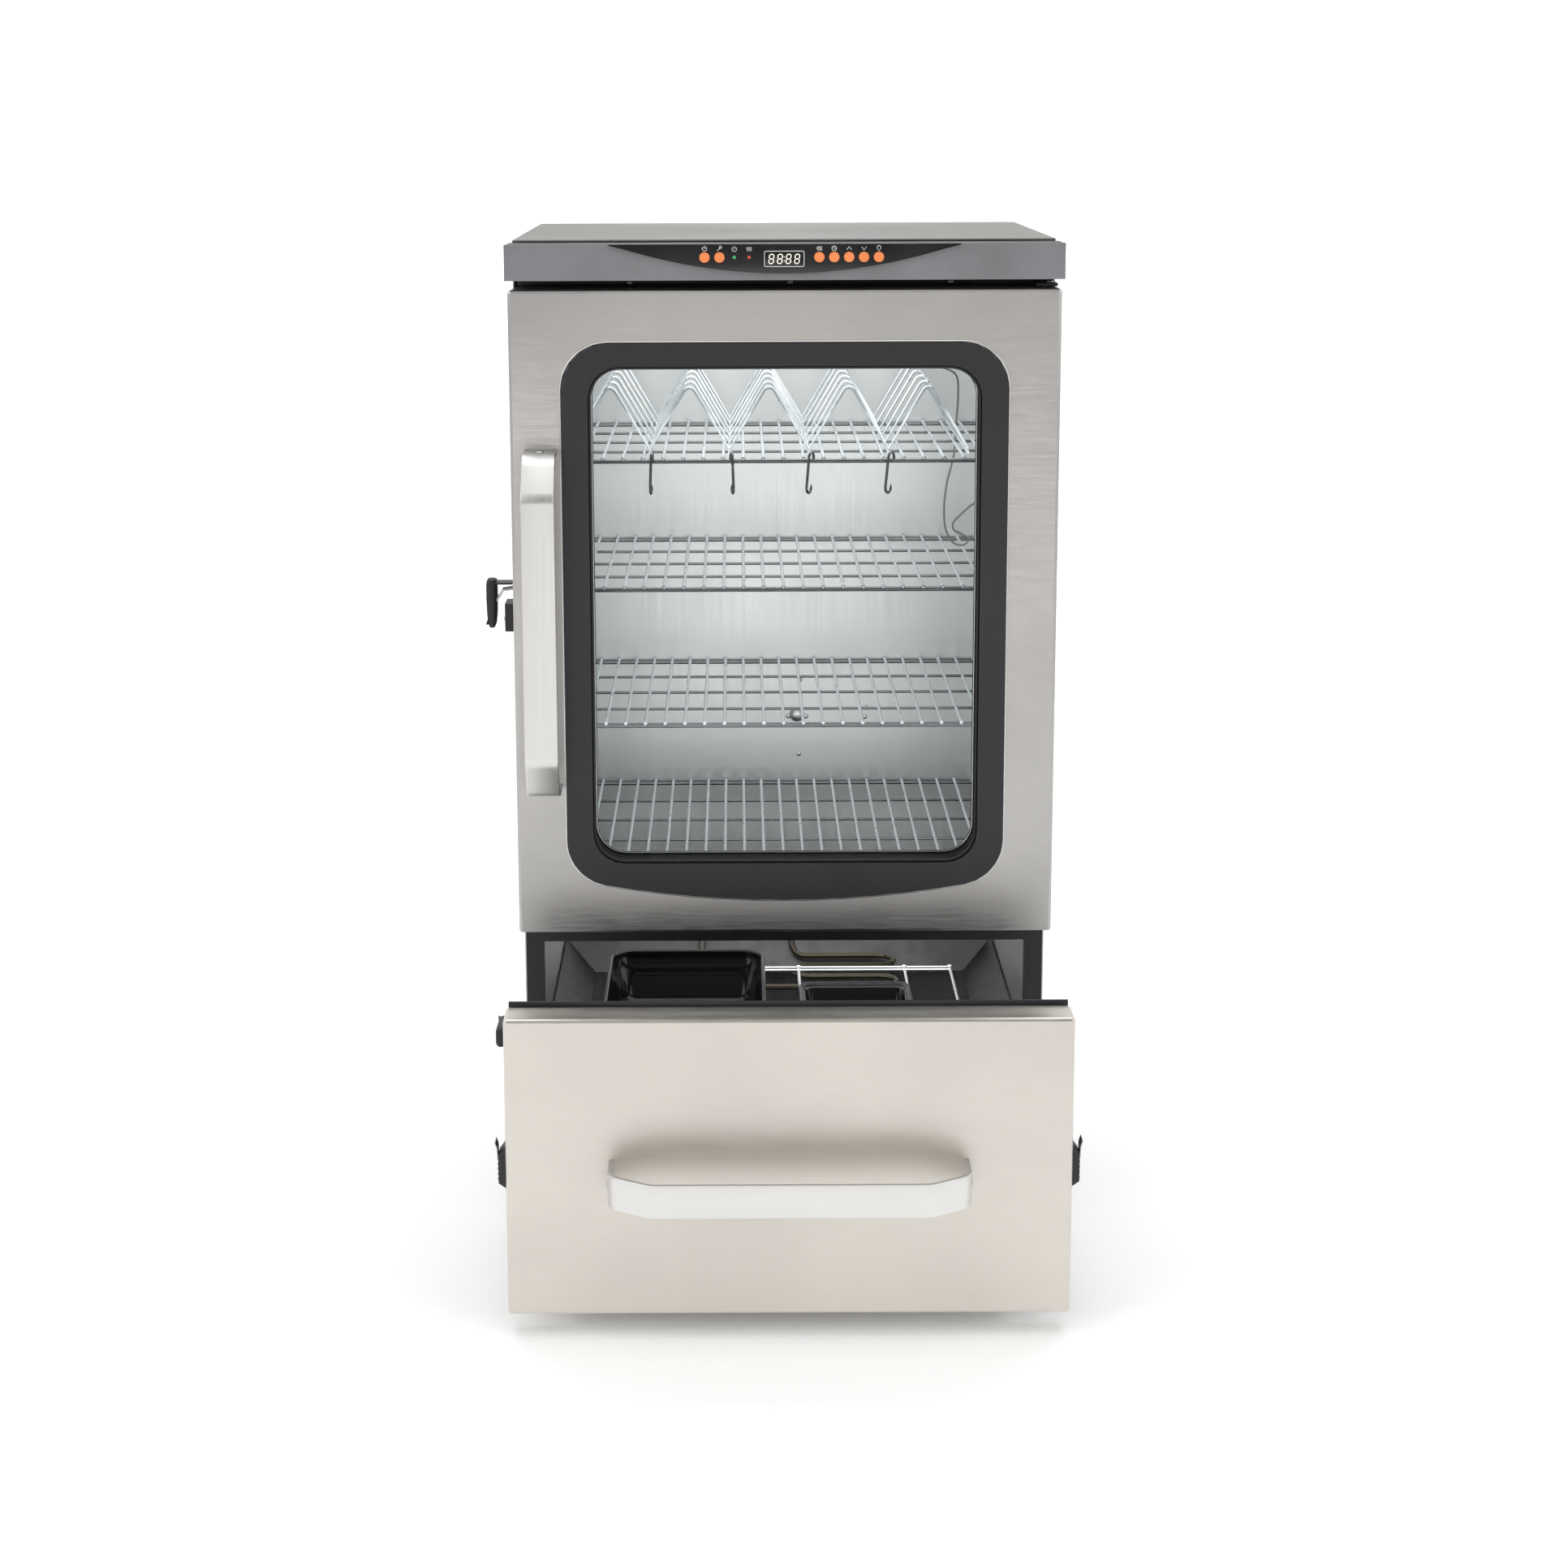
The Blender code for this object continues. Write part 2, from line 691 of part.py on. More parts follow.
def lead_anchors():
    """The probe lead: a small loop by the jack, up through the top shelf, and over to the probe."""
    return [
        (0.238, LEAD_Y, JACK_Z),
        (0.222, LEAD_Y, 0.733),
        (0.207, LEAD_Y, 0.724),
        (0.196, LEAD_Y, 0.714),
        (0.188, LEAD_Y, 0.705),
        (0.189, LEAD_Y, 0.697),
        (0.197, LEAD_Y, 0.693),
        (0.204, LEAD_Y, 0.687),
        (0.200, LEAD_Y, 0.681),
        (0.189, LEAD_Y, 0.683),
        (0.180, LEAD_Y, 0.698),
        (0.178, LEAD_Y, 0.722),
        (0.181, LEAD_Y, 0.750),
        (0.188, LEAD_Y, 0.780),
        (0.190, LEAD_Y, 0.812),
        (0.191, 0.240, 0.845),
        (0.187, 0.214, 0.868),
        (0.174, 0.193, 0.878),
        (0.158, 0.186, 0.881),
        (0.1475, 0.194, 0.880),
        (rib_peak_x(), PROBE_HANDLE_START - GAP, probe_height()),
    ]


def rib_peak_x():
    """The rightmost peak of the rib rack, which the probe lies along."""
    return RIB_X + (RIB_PEAKS - 1) / 2 * RIB_PITCH


def probe_height():
    """The probe's axis, with its handle just over the peaks, whose slanted wire is thicker upward."""
    slant = math.hypot(RIB_RISE, RIB_PITCH / 2) / (RIB_PITCH / 2)
    rib_top = SHELF_HEIGHTS[0] + WIRE / 2 + GAP + RIB_RISE + WIRE * slant
    return rib_top + PROBE_HANDLE_RADIUS + GAP


def build_probe(cabinet):
    drum(
        "probe_jack",
        0.007,
        (0.238 + GAP, LEAD_Y, JACK_Z),
        (CHAMBER_HALF - 0.003, LEAD_Y, JACK_Z),
        "X",
        cabinet,
        CHROME,
        12,
    )
    tube("probe_lead", smooth_route(lead_anchors(), LEAD_STEP), PROBE_WIRE, cabinet, LEAD)
    profile = [
        (0.0, PROBE_HANDLE_START),
        (PROBE_HANDLE_RADIUS, PROBE_HANDLE_START),
        (PROBE_HANDLE_RADIUS, PROBE_HANDLE_END),
        (0.0017, PROBE_HANDLE_END),
        (0.0017, PROBE_TIP - 0.010),
        (0.0, PROBE_TIP),
    ]
    shape = bmesh.new()
    corners = [shape.verts.new((radius, 0.0, -along)) for radius, along in profile]
    for pair in zip(corners, corners[1:]):
        shape.edges.new(pair)
    item = mesh_object("meat_probe", shape)
    turned = item.modifiers.new("turned", "SCREW")
    turned.axis = "Z"
    turned.steps = turned.render_steps = 10
    turned.use_merge_vertices = True
    turned.merge_threshold = 0.0001
    item.rotation_euler = (math.pi / 2, 0.0, 0.0)
    item.location = (rib_peak_x(), 0.0, probe_height())
    place(item, cabinet, CHROME)


def latch_outline(height):
    """The base of a side latch: a wall plate with a catch block, as a right-hand section."""
    wall = HALF_WIDTH + GAP
    return [
        (wall, height - 0.042),
        (wall + 0.014, height - 0.042),
        (wall + 0.014, height - 0.014),
        (wall + 0.003, height - 0.014),
        (wall + 0.003, height + 0.012),
        (wall, height + 0.012),
    ]


def build_latch(name, side, height, cabinet, body, open_at_rest):
    """A base on the side panel, and a J-shaped lever that hangs when shut and lies back when open."""
    base = mirrored(latch_outline(height), side)
    plate(f"{name}_base", base, 0.030, "XZ", LATCH_Y, cabinet, BLACK_STEEL)
    inner = HALF_WIDTH + GAP + 0.0035
    top, low = height + 0.0055, height - 0.036
    path = mirrored(
        [(inner, top), (LATCH_REACH - 0.006, top), (LATCH_REACH - 0.002, top - 0.006),
         (LATCH_REACH - 0.002, low + 0.006), (LATCH_REACH, low)],
        side,
    )
    half = LATCH_WIDTH / 2
    lever = sheet_object(f"{name}_lever", path, 1, (-half, half), 0.002, 0.0)
    turn = Matrix.Rotation(math.pi / 2 if open_at_rest else 0.0, 4, "X")
    pivot = Matrix.Translation((0.0, LATCH_Y, height))
    lever.data.transform(turn @ Matrix.Translation((0.0, 0.0, -height)))
    lever.matrix_world = pivot
    place(lever, body, BLACK_STEEL)


def build_hinges(cabinet):
    """Brackets on the front frame, each with a pin that stands into the door's edge."""
    for name, plate_low, pin_low, pin_high in (
        ("hinge_bracket_top", DOOR_HIGH + 0.0012, DOOR_HIGH - 0.008, DOOR_HIGH + 0.002),
        ("hinge_bracket_bottom", DOOR_LOW - 0.0042, DOOR_LOW - 0.002, DOOR_LOW + 0.008),
    ):
        bracket = cube_object(name, (0.243, -0.028, plate_low), (0.2635, -GAP, plate_low + 0.003))
        place(bracket, cabinet, BLACK_STEEL)
        pin = drum(
            f"{name}_pin", PIN_RADIUS, (HINGE_X, HINGE_Y, pin_low), (HINGE_X, HINGE_Y, pin_high),
            "Z", cabinet, BLACK_STEEL, 16,
        )
        SMOKER.objects.unlink(pin)
        CUTTERS.objects.link(pin)
        pin.hide_render = True
        pin.display_type = "WIRE"
        union = bracket.modifiers.new("pin", "BOOLEAN")
        union.object = pin
        union.operation = "UNION"


def handle_path(centre, out_sign):
    """The handle's strip seen from its edge: feet, slanted ends and a straight grip."""
    half = [
        (HANDLE_HALF - HANDLE_SHEET, GAP),
        (HANDLE_HALF - HANDLE_SHEET, HANDLE_FOOT),
        (HANDLE_FLAT_HALF, HANDLE_REACH - HANDLE_SHEET),
    ]
    path = [(centre - u, v) for u, v in half] + [(centre + u, v) for u, v in reversed(half)]
    return [(u, -FACE + out_sign * v) for u, v in path]


def build_door(door):
    front, back = -FACE, -LEAF_BACK
    skin = shell_leaf("door_skin", DOOR_LOW, DOOR_HIGH, front, back, door, STAINLESS)
    grow = 0.008
    opening = rounded_rectangle(
        -WINDOW_HALF - grow, WINDOW_HALF + grow, WINDOW_LOW - grow, WINDOW_HIGH + grow,
        WINDOW_CORNER + grow,
    )
    cutter = meshed(flat_curve("window_cut", opening, 0.020, "XZ", front))
    as_cutter(cutter, skin)
    for name, height in (("pin_hole_top", DOOR_HIGH), ("pin_hole_bottom", DOOR_LOW)):
        shape = bmesh.new()
        bmesh.ops.create_cone(
            shape, cap_ends=True, segments=16, depth=0.010,
            radius1=PIN_RADIUS + 0.0008, radius2=PIN_RADIUS + 0.0008,
        )
        hole = mesh_object(name, shape)
        hole.location = (HINGE_X, HINGE_Y, height)
        as_cutter(hole, skin)
    window = rounded_rectangle(-WINDOW_HALF, WINDOW_HALF, WINDOW_LOW, WINDOW_HIGH, WINDOW_CORNER)
    plate("window_trim", trim_outline(), TRIM_PROUD, "XZ", front - GAP - TRIM_PROUD / 2, door,
          CHARCOAL, [window])
    margin = 0.006
    pane = rounded_rectangle(
        -WINDOW_HALF - margin, WINDOW_HALF + margin, WINDOW_LOW - margin, WINDOW_HIGH + margin,
        WINDOW_CORNER + margin,
    )
    plate("outer_glass", pane, 0.004, "XZ", front + 0.002, door, GLASS)
    plate("inner_glass", pane, 0.004, "XZ", back - 0.0025, door, GLASS)
    liner = rectangle(-LEAF_HALF + 0.002, LEAF_HALF - 0.002, DOOR_LOW + 0.002, DOOR_HIGH - 0.002)
    plate("door_liner", liner, 0.002, "XZ", back + GAP + 0.001, door, STAINLESS, [window])
    outer = rounded_rectangle(-0.2545, 0.240, DOOR_LOW + 0.010, DOOR_HIGH - 0.006, 0.012, 3)
    inner = rounded_rectangle(-0.2445, 0.230, DOOR_LOW + 0.020, DOOR_HIGH - 0.016, 0.008, 3)
    plate("door_gasket", outer, 0.005, "XZ", back + 0.0026 + 0.0025, door, SEAL, [inner])
    half = HANDLE_WIDTH / 2
    path = [(v, u) for u, v in handle_path(DOOR_HANDLE_Z, -1)]
    span = (DOOR_HANDLE_X - half, DOOR_HANDLE_X + half)
    folded_sheet("door_handle", path, 0, span, HANDLE_SHEET, door, STAINLESS, 1.0)


def trim_outline():
    """A rounded frame whose foot bows down in the middle, in line with its lower corners."""
    radius, half, steps = TRIM_CORNER, TRIM_HALF, CORNER_STEPS
    lean = math.radians(TRIM_LEAN)
    centre = TRIM_LOW + radius
    outline = [
        *arc((half - radius, TRIM_HIGH - radius), radius, 0, 90, steps),
        *arc((-half + radius, TRIM_HIGH - radius), radius, 90, 180, steps),
        *arc((-half + radius, centre), radius, 180, 270 - TRIM_LEAN, steps),
    ]
    reach = half - radius + radius * math.sin(lean)
    foot = centre - radius * math.cos(lean)
    arch = reach * math.tan(lean) / 2
    bow_steps = 12
    for i in range(1, bow_steps):
        share = -1 + 2 * i / bow_steps
        outline.append((share * reach, foot - arch * (1 - share * share)))
    outline += arc((half - radius, centre), radius, 270 + TRIM_LEAN, 360, steps)
    return outline


def shifted(points, dy):
    return [(u, v + dy) for u, v in points]


def build_drawer(drawer):
    out = -DRAWER_OUT
    front, back = -FACE + out, -LEAF_BACK + out
    shell_leaf("drawer_front", DRAWER_LOW, DRAWER_HIGH, front, back, drawer, STAINLESS)
    liner = rectangle(
        -LEAF_HALF + 0.003, LEAF_HALF - 0.003, DRAWER_LOW + 0.003, DRAWER_HIGH - 0.003
    )
    plate("drawer_liner", liner, 0.002, "XZ", back + GAP + 0.001, drawer, BLACK_STEEL)
    half = HANDLE_WIDTH / 2
    path = shifted(handle_path(0.0, -1), out)
    span = (DRAWER_HANDLE_Z - half, DRAWER_HANDLE_Z + half)
    folded_sheet("drawer_handle", path, 2, span, HANDLE_SHEET, drawer, STAINLESS, -1.0)
    rear_face = back + 2 * GAP + 0.002
    build_cradle(drawer, rear_face)
    build_drip_tray(drawer, rear_face)
    for side, name in ((-1, "drawer_strike_left"), (1, "drawer_strike_right")):
        wall = LEAF_HALF + GAP
        outline = [
            (wall, STRIKE_Z - 0.020),
            (wall + 0.007, STRIKE_Z - 0.015),
            (wall + 0.007, STRIKE_Z + 0.012),
            (wall + 0.001, STRIKE_Z + 0.020),
            (wall, STRIKE_Z + 0.020),
        ]
        middle = (front + back) / 2
        plate(name, mirrored(outline, side), 0.022, "XZ", middle, drawer, BLACK_STEEL)


def build_cradle(drawer, front):
    """The wire frame behind the drawer front that carries the water pan and the chip box."""
    half = WIRE / 2
    pan_left, pan_right = PAN_X - PAN_HALF + 0.004, PAN_X + PAN_HALF - 0.004
    chip_left, chip_right = CHIP_X - CHIP_HALF + 0.004, CHIP_X + CHIP_HALF - 0.004
    pan_front, pan_back = PAN_BACK - PAN_LENGTH + 0.004, PAN_BACK - 0.004
    chip_front, chip_back = CHIP_BACK - CHIP_LENGTH + 0.004, CHIP_BACK - 0.004
    edge = CRADLE_HALF - WIRE
    holes = [
        rectangle(pan_left, pan_right, pan_front, pan_back),
        rectangle(chip_left, chip_right, chip_front, chip_back),
        rectangle(chip_left, chip_right, chip_back + WIRE, CRADLE_BACK - WIRE),
        rectangle(chip_left, chip_right, front + WIRE, chip_front - WIRE),
        rectangle(chip_right + WIRE, edge, front + WIRE, CRADLE_BACK - WIRE),
        rectangle(pan_right + WIRE, chip_left - WIRE, front + WIRE, CRADLE_BACK - WIRE),
    ]
    outline = rectangle(pan_left - WIRE - half, CRADLE_HALF, front, CRADLE_BACK)
    plate("pan_cradle", outline, WIRE, "XY", CRADLE_Z, drawer, CHROME, holes)


def build_drip_tray(drawer, front):
    """A deep tray under the hopper, whose side lips run in the cabinet's channels."""
    wall, corner = 0.002, 0.004
    middle, far = (TRAY_BACK + front) / 2, (TRAY_BACK - front) / 2
    sections = [
        (TRAY_HALF, far, TRAY_LOW, corner),
        (TRAY_HALF, far, TRAY_HIGH - wall, corner),
        (LIP_HALF, far, TRAY_HIGH - wall, corner),
        (LIP_HALF, far, TRAY_HIGH, corner),
        (TRAY_HALF - wall, far - wall, TRAY_HIGH, corner),
        (TRAY_HALF - wall, far - wall, TRAY_LOW + wall, corner),
    ]
    tray("drip_tray", (0.0, middle), sections, drawer, GALVANISED)


def build_drawer_rails(cabinet):
    """Channels on the chamber walls that hold the drip tray's lips."""
    wall, lip, inner, thick = CHAMBER_HALF - GAP, 0.0035, 0.226, 0.0015
    high, low = TRAY_HIGH + 0.010, TRAY_HIGH - 0.014
    outline = [
        (wall, low),
        (wall, high),
        (inner + lip, high),
        (inner + lip, high - thick),
        (wall - thick, high - thick),
        (wall - thick, low + thick),
        (inner + lip, low + thick),
        (inner + lip, low),
    ]
    length = CHAMBER_BACK - FRAME_DEPTH - 0.010
    middle = (CHAMBER_BACK + FRAME_DEPTH) / 2
    for side, name in ((-1, "drawer_rail_left"), (1, "drawer_rail_right")):
        plate(name, mirrored(outline, side), length, "XZ", middle, cabinet, GALVANISED)


def build_pans(bodies):
    """The water pan and the chip box, each hung by a shoulder on the cradle."""
    shoulder = CRADLE_Z + WIRE / 2 + GAP
    for name, x, half, back, length, low, high, corner in (
        ("water_pan", PAN_X, PAN_HALF, PAN_BACK, PAN_LENGTH, PAN_LOW, PAN_HIGH, 0.024),
        ("chip_box", CHIP_X, CHIP_HALF, CHIP_BACK, CHIP_LENGTH, CHIP_LOW, CHIP_HIGH, 0.014),
    ):
        far = length / 2
        wall, slope, tuck = 0.0025, 0.008, 0.0055
        sections = [
            (half - tuck - slope, far - tuck - slope, low, corner - 0.004),
            (half - tuck, far - tuck, shoulder, corner),
            (half, far, shoulder + 0.001, corner),
            (half, far, high, corner),
            (half - wall, far - wall, high, corner - 0.002),
            (half - wall - tuck, far - wall - tuck, shoulder + wall, corner - 0.002),
            (half - wall - tuck - slope, far - wall - tuck - slope, low + wall, corner - 0.006),
        ]
        tray(name, (x, back - far), sections, bodies[name], ENAMEL)


def build():
    cabinet = make_body("cabinet")
    door = make_body("door", (HINGE_X, HINGE_Y, DOOR_LOW), cabinet)
    drawer = make_body("drawer", (0.0, -DRAWER_OUT, DRAWER_LOW), cabinet)
    bodies = {}
    for number, x in enumerate(button_positions(), 1):
        name = f"button_{number}"
        bodies[name] = make_body(f"{name}_guide", (x, -FACE, BUTTON_Z), cabinet)
    rail = SHELF_FRONT + WIRE / 2
    for number in range(1, RIB_PEAKS):
        name = f"meat_hook_{number}"
        x = rib_valley(number - 1) + HOOK_SIDE_STEP
        bodies[name] = make_body(f"{name}_pivot", (x, rail, SHELF_HEIGHTS[0]), cabinet)
    bodies["water_pan"] = make_body("water_pan_seat", (PAN_X, PAN_BACK, PAN_LOW), drawer)
    bodies["chip_box"] = make_body("chip_box_seat", (CHIP_X, CHIP_BACK, CHIP_LOW), drawer)

    build_casing(cabinet)
    build_hopper(cabinet)
    build_rack_rails(cabinet)
    build_shelves(cabinet)
    build_rib_rack(cabinet)
    build_hooks(bodies)
    build_controls(cabinet, bodies)
    build_heating(cabinet)
    build_probe(cabinet)
    build_hinges(cabinet)
    build_drawer_rails(cabinet)
    for name, side, height, open_at_rest in (
        ("door_latch", -1, DOOR_LATCH_Z, False),
        ("drawer_latch_left", -1, DRAWER_LATCH_Z, True),
        ("drawer_latch_right", 1, DRAWER_LATCH_Z, False),
    ):
        pivot = make_body(f"{name}_pivot", (side * HALF_WIDTH, LATCH_Y, height), cabinet)
        build_latch(name, side, height, cabinet, pivot, open_at_rest)
    build_door(door)
    build_drawer(drawer)
    build_pans(bodies)
    cabinet.location.y = FRONT_Y


build()
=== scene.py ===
"""Looks for the electric cabinet smoker, on the frame of its CAD model.

Metres, +Z up, -Y towards someone facing the door. Places come from the CAD nodes' boxes, or are
counted from the cabinet's front plane, FRONT.
"""

import math

import bmesh
import bpy
from mathutils import Matrix, Vector


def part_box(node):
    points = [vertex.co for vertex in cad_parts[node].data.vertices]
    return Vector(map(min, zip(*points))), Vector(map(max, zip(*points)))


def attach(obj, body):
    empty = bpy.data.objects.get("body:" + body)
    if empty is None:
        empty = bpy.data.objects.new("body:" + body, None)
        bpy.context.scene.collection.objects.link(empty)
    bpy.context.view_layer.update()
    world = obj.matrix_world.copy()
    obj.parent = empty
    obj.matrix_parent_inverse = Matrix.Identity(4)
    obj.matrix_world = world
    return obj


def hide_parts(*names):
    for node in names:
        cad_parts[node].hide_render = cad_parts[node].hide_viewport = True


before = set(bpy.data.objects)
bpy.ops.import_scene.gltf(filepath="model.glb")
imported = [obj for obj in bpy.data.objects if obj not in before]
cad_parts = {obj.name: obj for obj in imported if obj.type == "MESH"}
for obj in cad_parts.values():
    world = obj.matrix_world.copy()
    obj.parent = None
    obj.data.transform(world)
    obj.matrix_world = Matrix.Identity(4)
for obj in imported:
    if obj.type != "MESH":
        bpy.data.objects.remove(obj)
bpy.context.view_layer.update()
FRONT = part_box("outer_wrap")[0][1]
BACK_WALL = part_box("chamber_liner")[1][1] - 0.0014
DOOR_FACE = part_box("door_skin")[0][1]

SHELF_HEIGHTS = (0.805, 0.675, 0.535, 0.394)
SHELF_HALF = 0.2355
BAR_PITCH = 0.020
BAR_RADIUS = 0.0017
FRAME_RADIUS = 0.0019
RIB_X = -0.014  # the rack's middle
RIB_PITCH = 0.0795
RIB_PEAKS = 5
RIB_ROWS = 6
RIB_ROW_PITCH = 0.056
RIB_WIRE = 0.0016
HOOK_TWISTS = (6.0, -9.0, 24.0, 30.0)  # degrees, how far each hook has turned on its rail
LEAD_DIAMETER = 0.0022
TRIM_CORNER = 0.045
TRIM_LEAN = 10.0  # degrees, the slope of the trim's foot where a lower corner ends
HANDLE_SHEET = 0.0045
LATCH_ROOT = 0.264  # the x, on either side, that the latches' grips and bails are measured from
STUD = 0.0028  # radius of a screw or rivet head on the chamber's back wall
FACING_OUT = (0, -1, 0)


# ---------------------------------------------------------------- materials

def node(made, kind, **inputs):
    """A new node with its named inputs set."""
    added = made.node_tree.nodes.new(kind)
    for name, value in inputs.items():
        added.inputs[name.replace("_", " ")].default_value = value
    return added


def link(made, start, end):
    made.node_tree.links.new(start, end)


def shader_of(made):
    return made.node_tree.nodes["Principled BSDF"]


def noise(made, scale, stretch=(1.0, 1.0, 1.0), detail=3.0):
    """Noise in the object's own metres, stretched along an axis where its factor is small."""
    place = node(made, "ShaderNodeTexCoord")
    mapping = node(made, "ShaderNodeMapping", Scale=stretch)
    texture = node(made, "ShaderNodeTexNoise", Scale=scale, Detail=detail)
    link(made, place.outputs["Object"], mapping.inputs["Vector"])
    link(made, mapping.outputs["Vector"], texture.inputs["Vector"])
    return texture.outputs["Fac"]


def spread(made, texture, low, high):
    """The middle of a texture's range, mapped from low to high."""
    ranged = node(
        made, "ShaderNodeMapRange", From_Min=0.3, From_Max=0.7, To_Min=low, To_Max=high
    )
    link(made, texture, ranged.inputs["Value"])
    return ranged.outputs["Result"]


def material(name, colour, roughness, metallic=0.0, **sockets):
    made = bpy.data.materials.new(name)
    made.use_nodes = True
    shader = shader_of(made)
    shader.inputs["Base Color"].default_value = (*colour, 1.0)
    shader.inputs["Roughness"].default_value = roughness
    shader.inputs["Metallic"].default_value = metallic
    for socket, value in sockets.items():
        shader.inputs[socket.replace("_", " ")].default_value = value
    return made


def blend(made, share, low, high):
    """Blends the base colour from one colour to another, by a share that runs from 0 to 1."""
    mixed = made.node_tree.nodes.new("ShaderNodeMix")
    mixed.data_type = "RGBA"
    mixed.inputs["A"].default_value = (*low, 1.0)
    mixed.inputs["B"].default_value = (*high, 1.0)
    link(made, share, mixed.inputs["Factor"])
    link(made, mixed.outputs["Result"], shader_of(made).inputs["Base Color"])


def tint(made, texture, dark, light):
    """Varies the base colour between two colours."""
    blend(made, spread(made, texture, 0.0, 1.0), dark, light)


def bump(made, texture, strength, distance):
    raised = node(made, "ShaderNodeBump", Strength=strength, Distance=distance)
    link(made, texture, raised.inputs["Height"])
    link(made, raised.outputs["Normal"], shader_of(made).inputs["Normal"])


def roughen(made, texture, low, high):
    link(made, spread(made, texture, low, high), shader_of(made).inputs["Roughness"])


def shade(colour, factor):
    return tuple(min(1.0, channel * factor) for channel in colour)


def brushed(name, colour, grain, roughness, marks=0.05, depth=0.12):
    """Brushed steel with its grain along the axis whose stretch is small, and faint hand marks."""
    made = material(name, colour, roughness, 1.0, Anisotropic=0.35)
    lines = noise(made, 900.0, grain, 2.0)
    clouds = noise(made, 5.0, detail=5.0)
    tint(made, clouds, shade(colour, 1.0 - marks), shade(colour, 1.0 + marks))
    roughen(made, lines, roughness - 0.06, roughness + 0.06)
    if depth:
        bump(made, lines, depth, 0.0002)
    return made


def painted(name, colour, roughness, metallic=0.0, grain=420.0, depth=0.10, **sockets):
    """A sprayed, plated or moulded surface: a fine orange-peel bump and slightly uneven gloss."""
    made = material(name, colour, roughness, metallic, **sockets)
    peel = noise(made, grain, detail=2.0)
    clouds = noise(made, 14.0, detail=4.0)
    tint(made, clouds, shade(colour, 0.88), shade(colour, 1.10))
    roughen(made, clouds, max(0.02, roughness - 0.05), roughness + 0.06)
    bump(made, peel, depth, 0.0003)
    return made


def glowing(name, colour, strength):
    made = material(name, colour, 0.35)
    shader_of(made).inputs["Emission Color"].default_value = (*colour, 1.0)
    shader_of(made).inputs["Emission Strength"].default_value = strength
    roughen(made, noise(made, 600.0), 0.3, 0.4)
    return made


def shaded_below(name, sheet_colour, painted_shade, low, high):
    """Galvanised sheet with painted shade: darkened below a height, over a band from low to high.
    """
    made = material(name, sheet_colour, 0.45, 1.0)
    place = node(made, "ShaderNodeTexCoord")
    parts = node(made, "ShaderNodeSeparateXYZ")
    band = node(made, "ShaderNodeMapRange", From_Min=low, From_Max=high)
    uneven = node(made, "ShaderNodeMath")
    uneven.operation = "MULTIPLY_ADD"
    texture, reach, height = uneven.inputs
    reach.default_value = 0.02
    link(made, place.outputs["Object"], parts.inputs["Vector"])
    link(made, noise(made, 30.0, detail=4.0), texture)
    link(made, parts.outputs["Z"], height)
    link(made, uneven.outputs["Value"], band.inputs["Value"])
    # painted shade below the band, the sheet's own colour above it
    blend(made, band.outputs["Result"], painted_shade, sheet_colour)
    roughen(made, noise(made, 60.0), 0.40, 0.52)
    return made


UPRIGHT = (1.0, 1.0, 0.012)
ACROSS = (0.012, 1.0, 1.0)

STEEL = brushed("door_steel", (0.47, 0.46, 0.45), (0.05, 1.0, 1.0), 0.34, 0.09, 0.0)
SIDE_STEEL = brushed("side_steel", (0.60, 0.59, 0.575), UPRIGHT, 0.34)
TOP_STEEL = brushed("top_steel", (0.19, 0.184, 0.175), ACROSS, 0.44)
# Painted light: the drawer front's stainless is the door's steel drawn lighter and warmer, as the
# lamps light it more strongly
LIT_DRAWER_STEEL = brushed("drawer_steel_painted_light", (0.655, 0.62, 0.572), (0.05, 1.0, 1.0), 0.40, 0.05, 0.0)
HANDLE_UPRIGHT = brushed("door_handle_steel", (0.70, 0.695, 0.68), UPRIGHT, 0.40, 0.02, 0.04)
HANDLE_ACROSS = brushed("drawer_handle_steel", (0.74, 0.735, 0.72), ACROSS, 0.40, 0.02, 0.04)
LINER_STEEL = brushed("liner_steel", (0.83, 0.84, 0.84), UPRIGHT, 0.40, 0.06)
FASCIA_PAINT = painted("fascia_paint", (0.22, 0.22, 0.235), 0.38, 0.2)
BLACK_PAINT = painted("black_powder_coat", (0.016, 0.017, 0.021), 0.50)
# Painted shade: the galvanised sheet is drawn near black below about 0.37 m, where the bay under
# the chamber lies in shade
SHADED_GALVANISED = shaded_below(
    "galvanised_sheet_painted_shade", (0.66, 0.665, 0.66), (0.07, 0.071, 0.071), 0.362, 0.388
)
CHARCOAL = painted("charcoal_trim", (0.015, 0.015, 0.019), 0.36, 0.1)
CHROME = painted("plated_wire", (0.84, 0.88, 0.91), 0.28, 0.72, depth=0.05)
# Painted shade: a darker copy of the plated wire, for the shelf frames, hooks and recess screws,
# which catch little light
SHADED_CHROME = painted("shaded_plated_wire", (0.24, 0.25, 0.26), 0.28, 1.0, depth=0.05)
ENAMEL = painted(
    "black_enamel", (0.004, 0.004, 0.005), 0.07, grain=60.0, depth=0.03, Specular_IOR_Level=0.22
)
LENS = painted("black_lens", (0.008, 0.008, 0.010), 0.09, grain=30.0, depth=0.01, Coat_Weight=0.6)
ORANGE = painted("orange_button", (0.95, 0.27, 0.085), 0.42)
RUBBER = painted("black_grip", (0.018, 0.018, 0.020), 0.55, grain=900.0, depth=0.25)
CIRCUIT = painted("circuit_board", (0.02, 0.16, 0.06), 0.45, grain=180.0, depth=0.4)
SHEATH = painted("element_sheath", (0.075, 0.065, 0.045), 0.48, 0.7, depth=0.2)
SEAL = painted("woven_seal", (0.05, 0.05, 0.05), 0.85, grain=1400.0, depth=0.9)
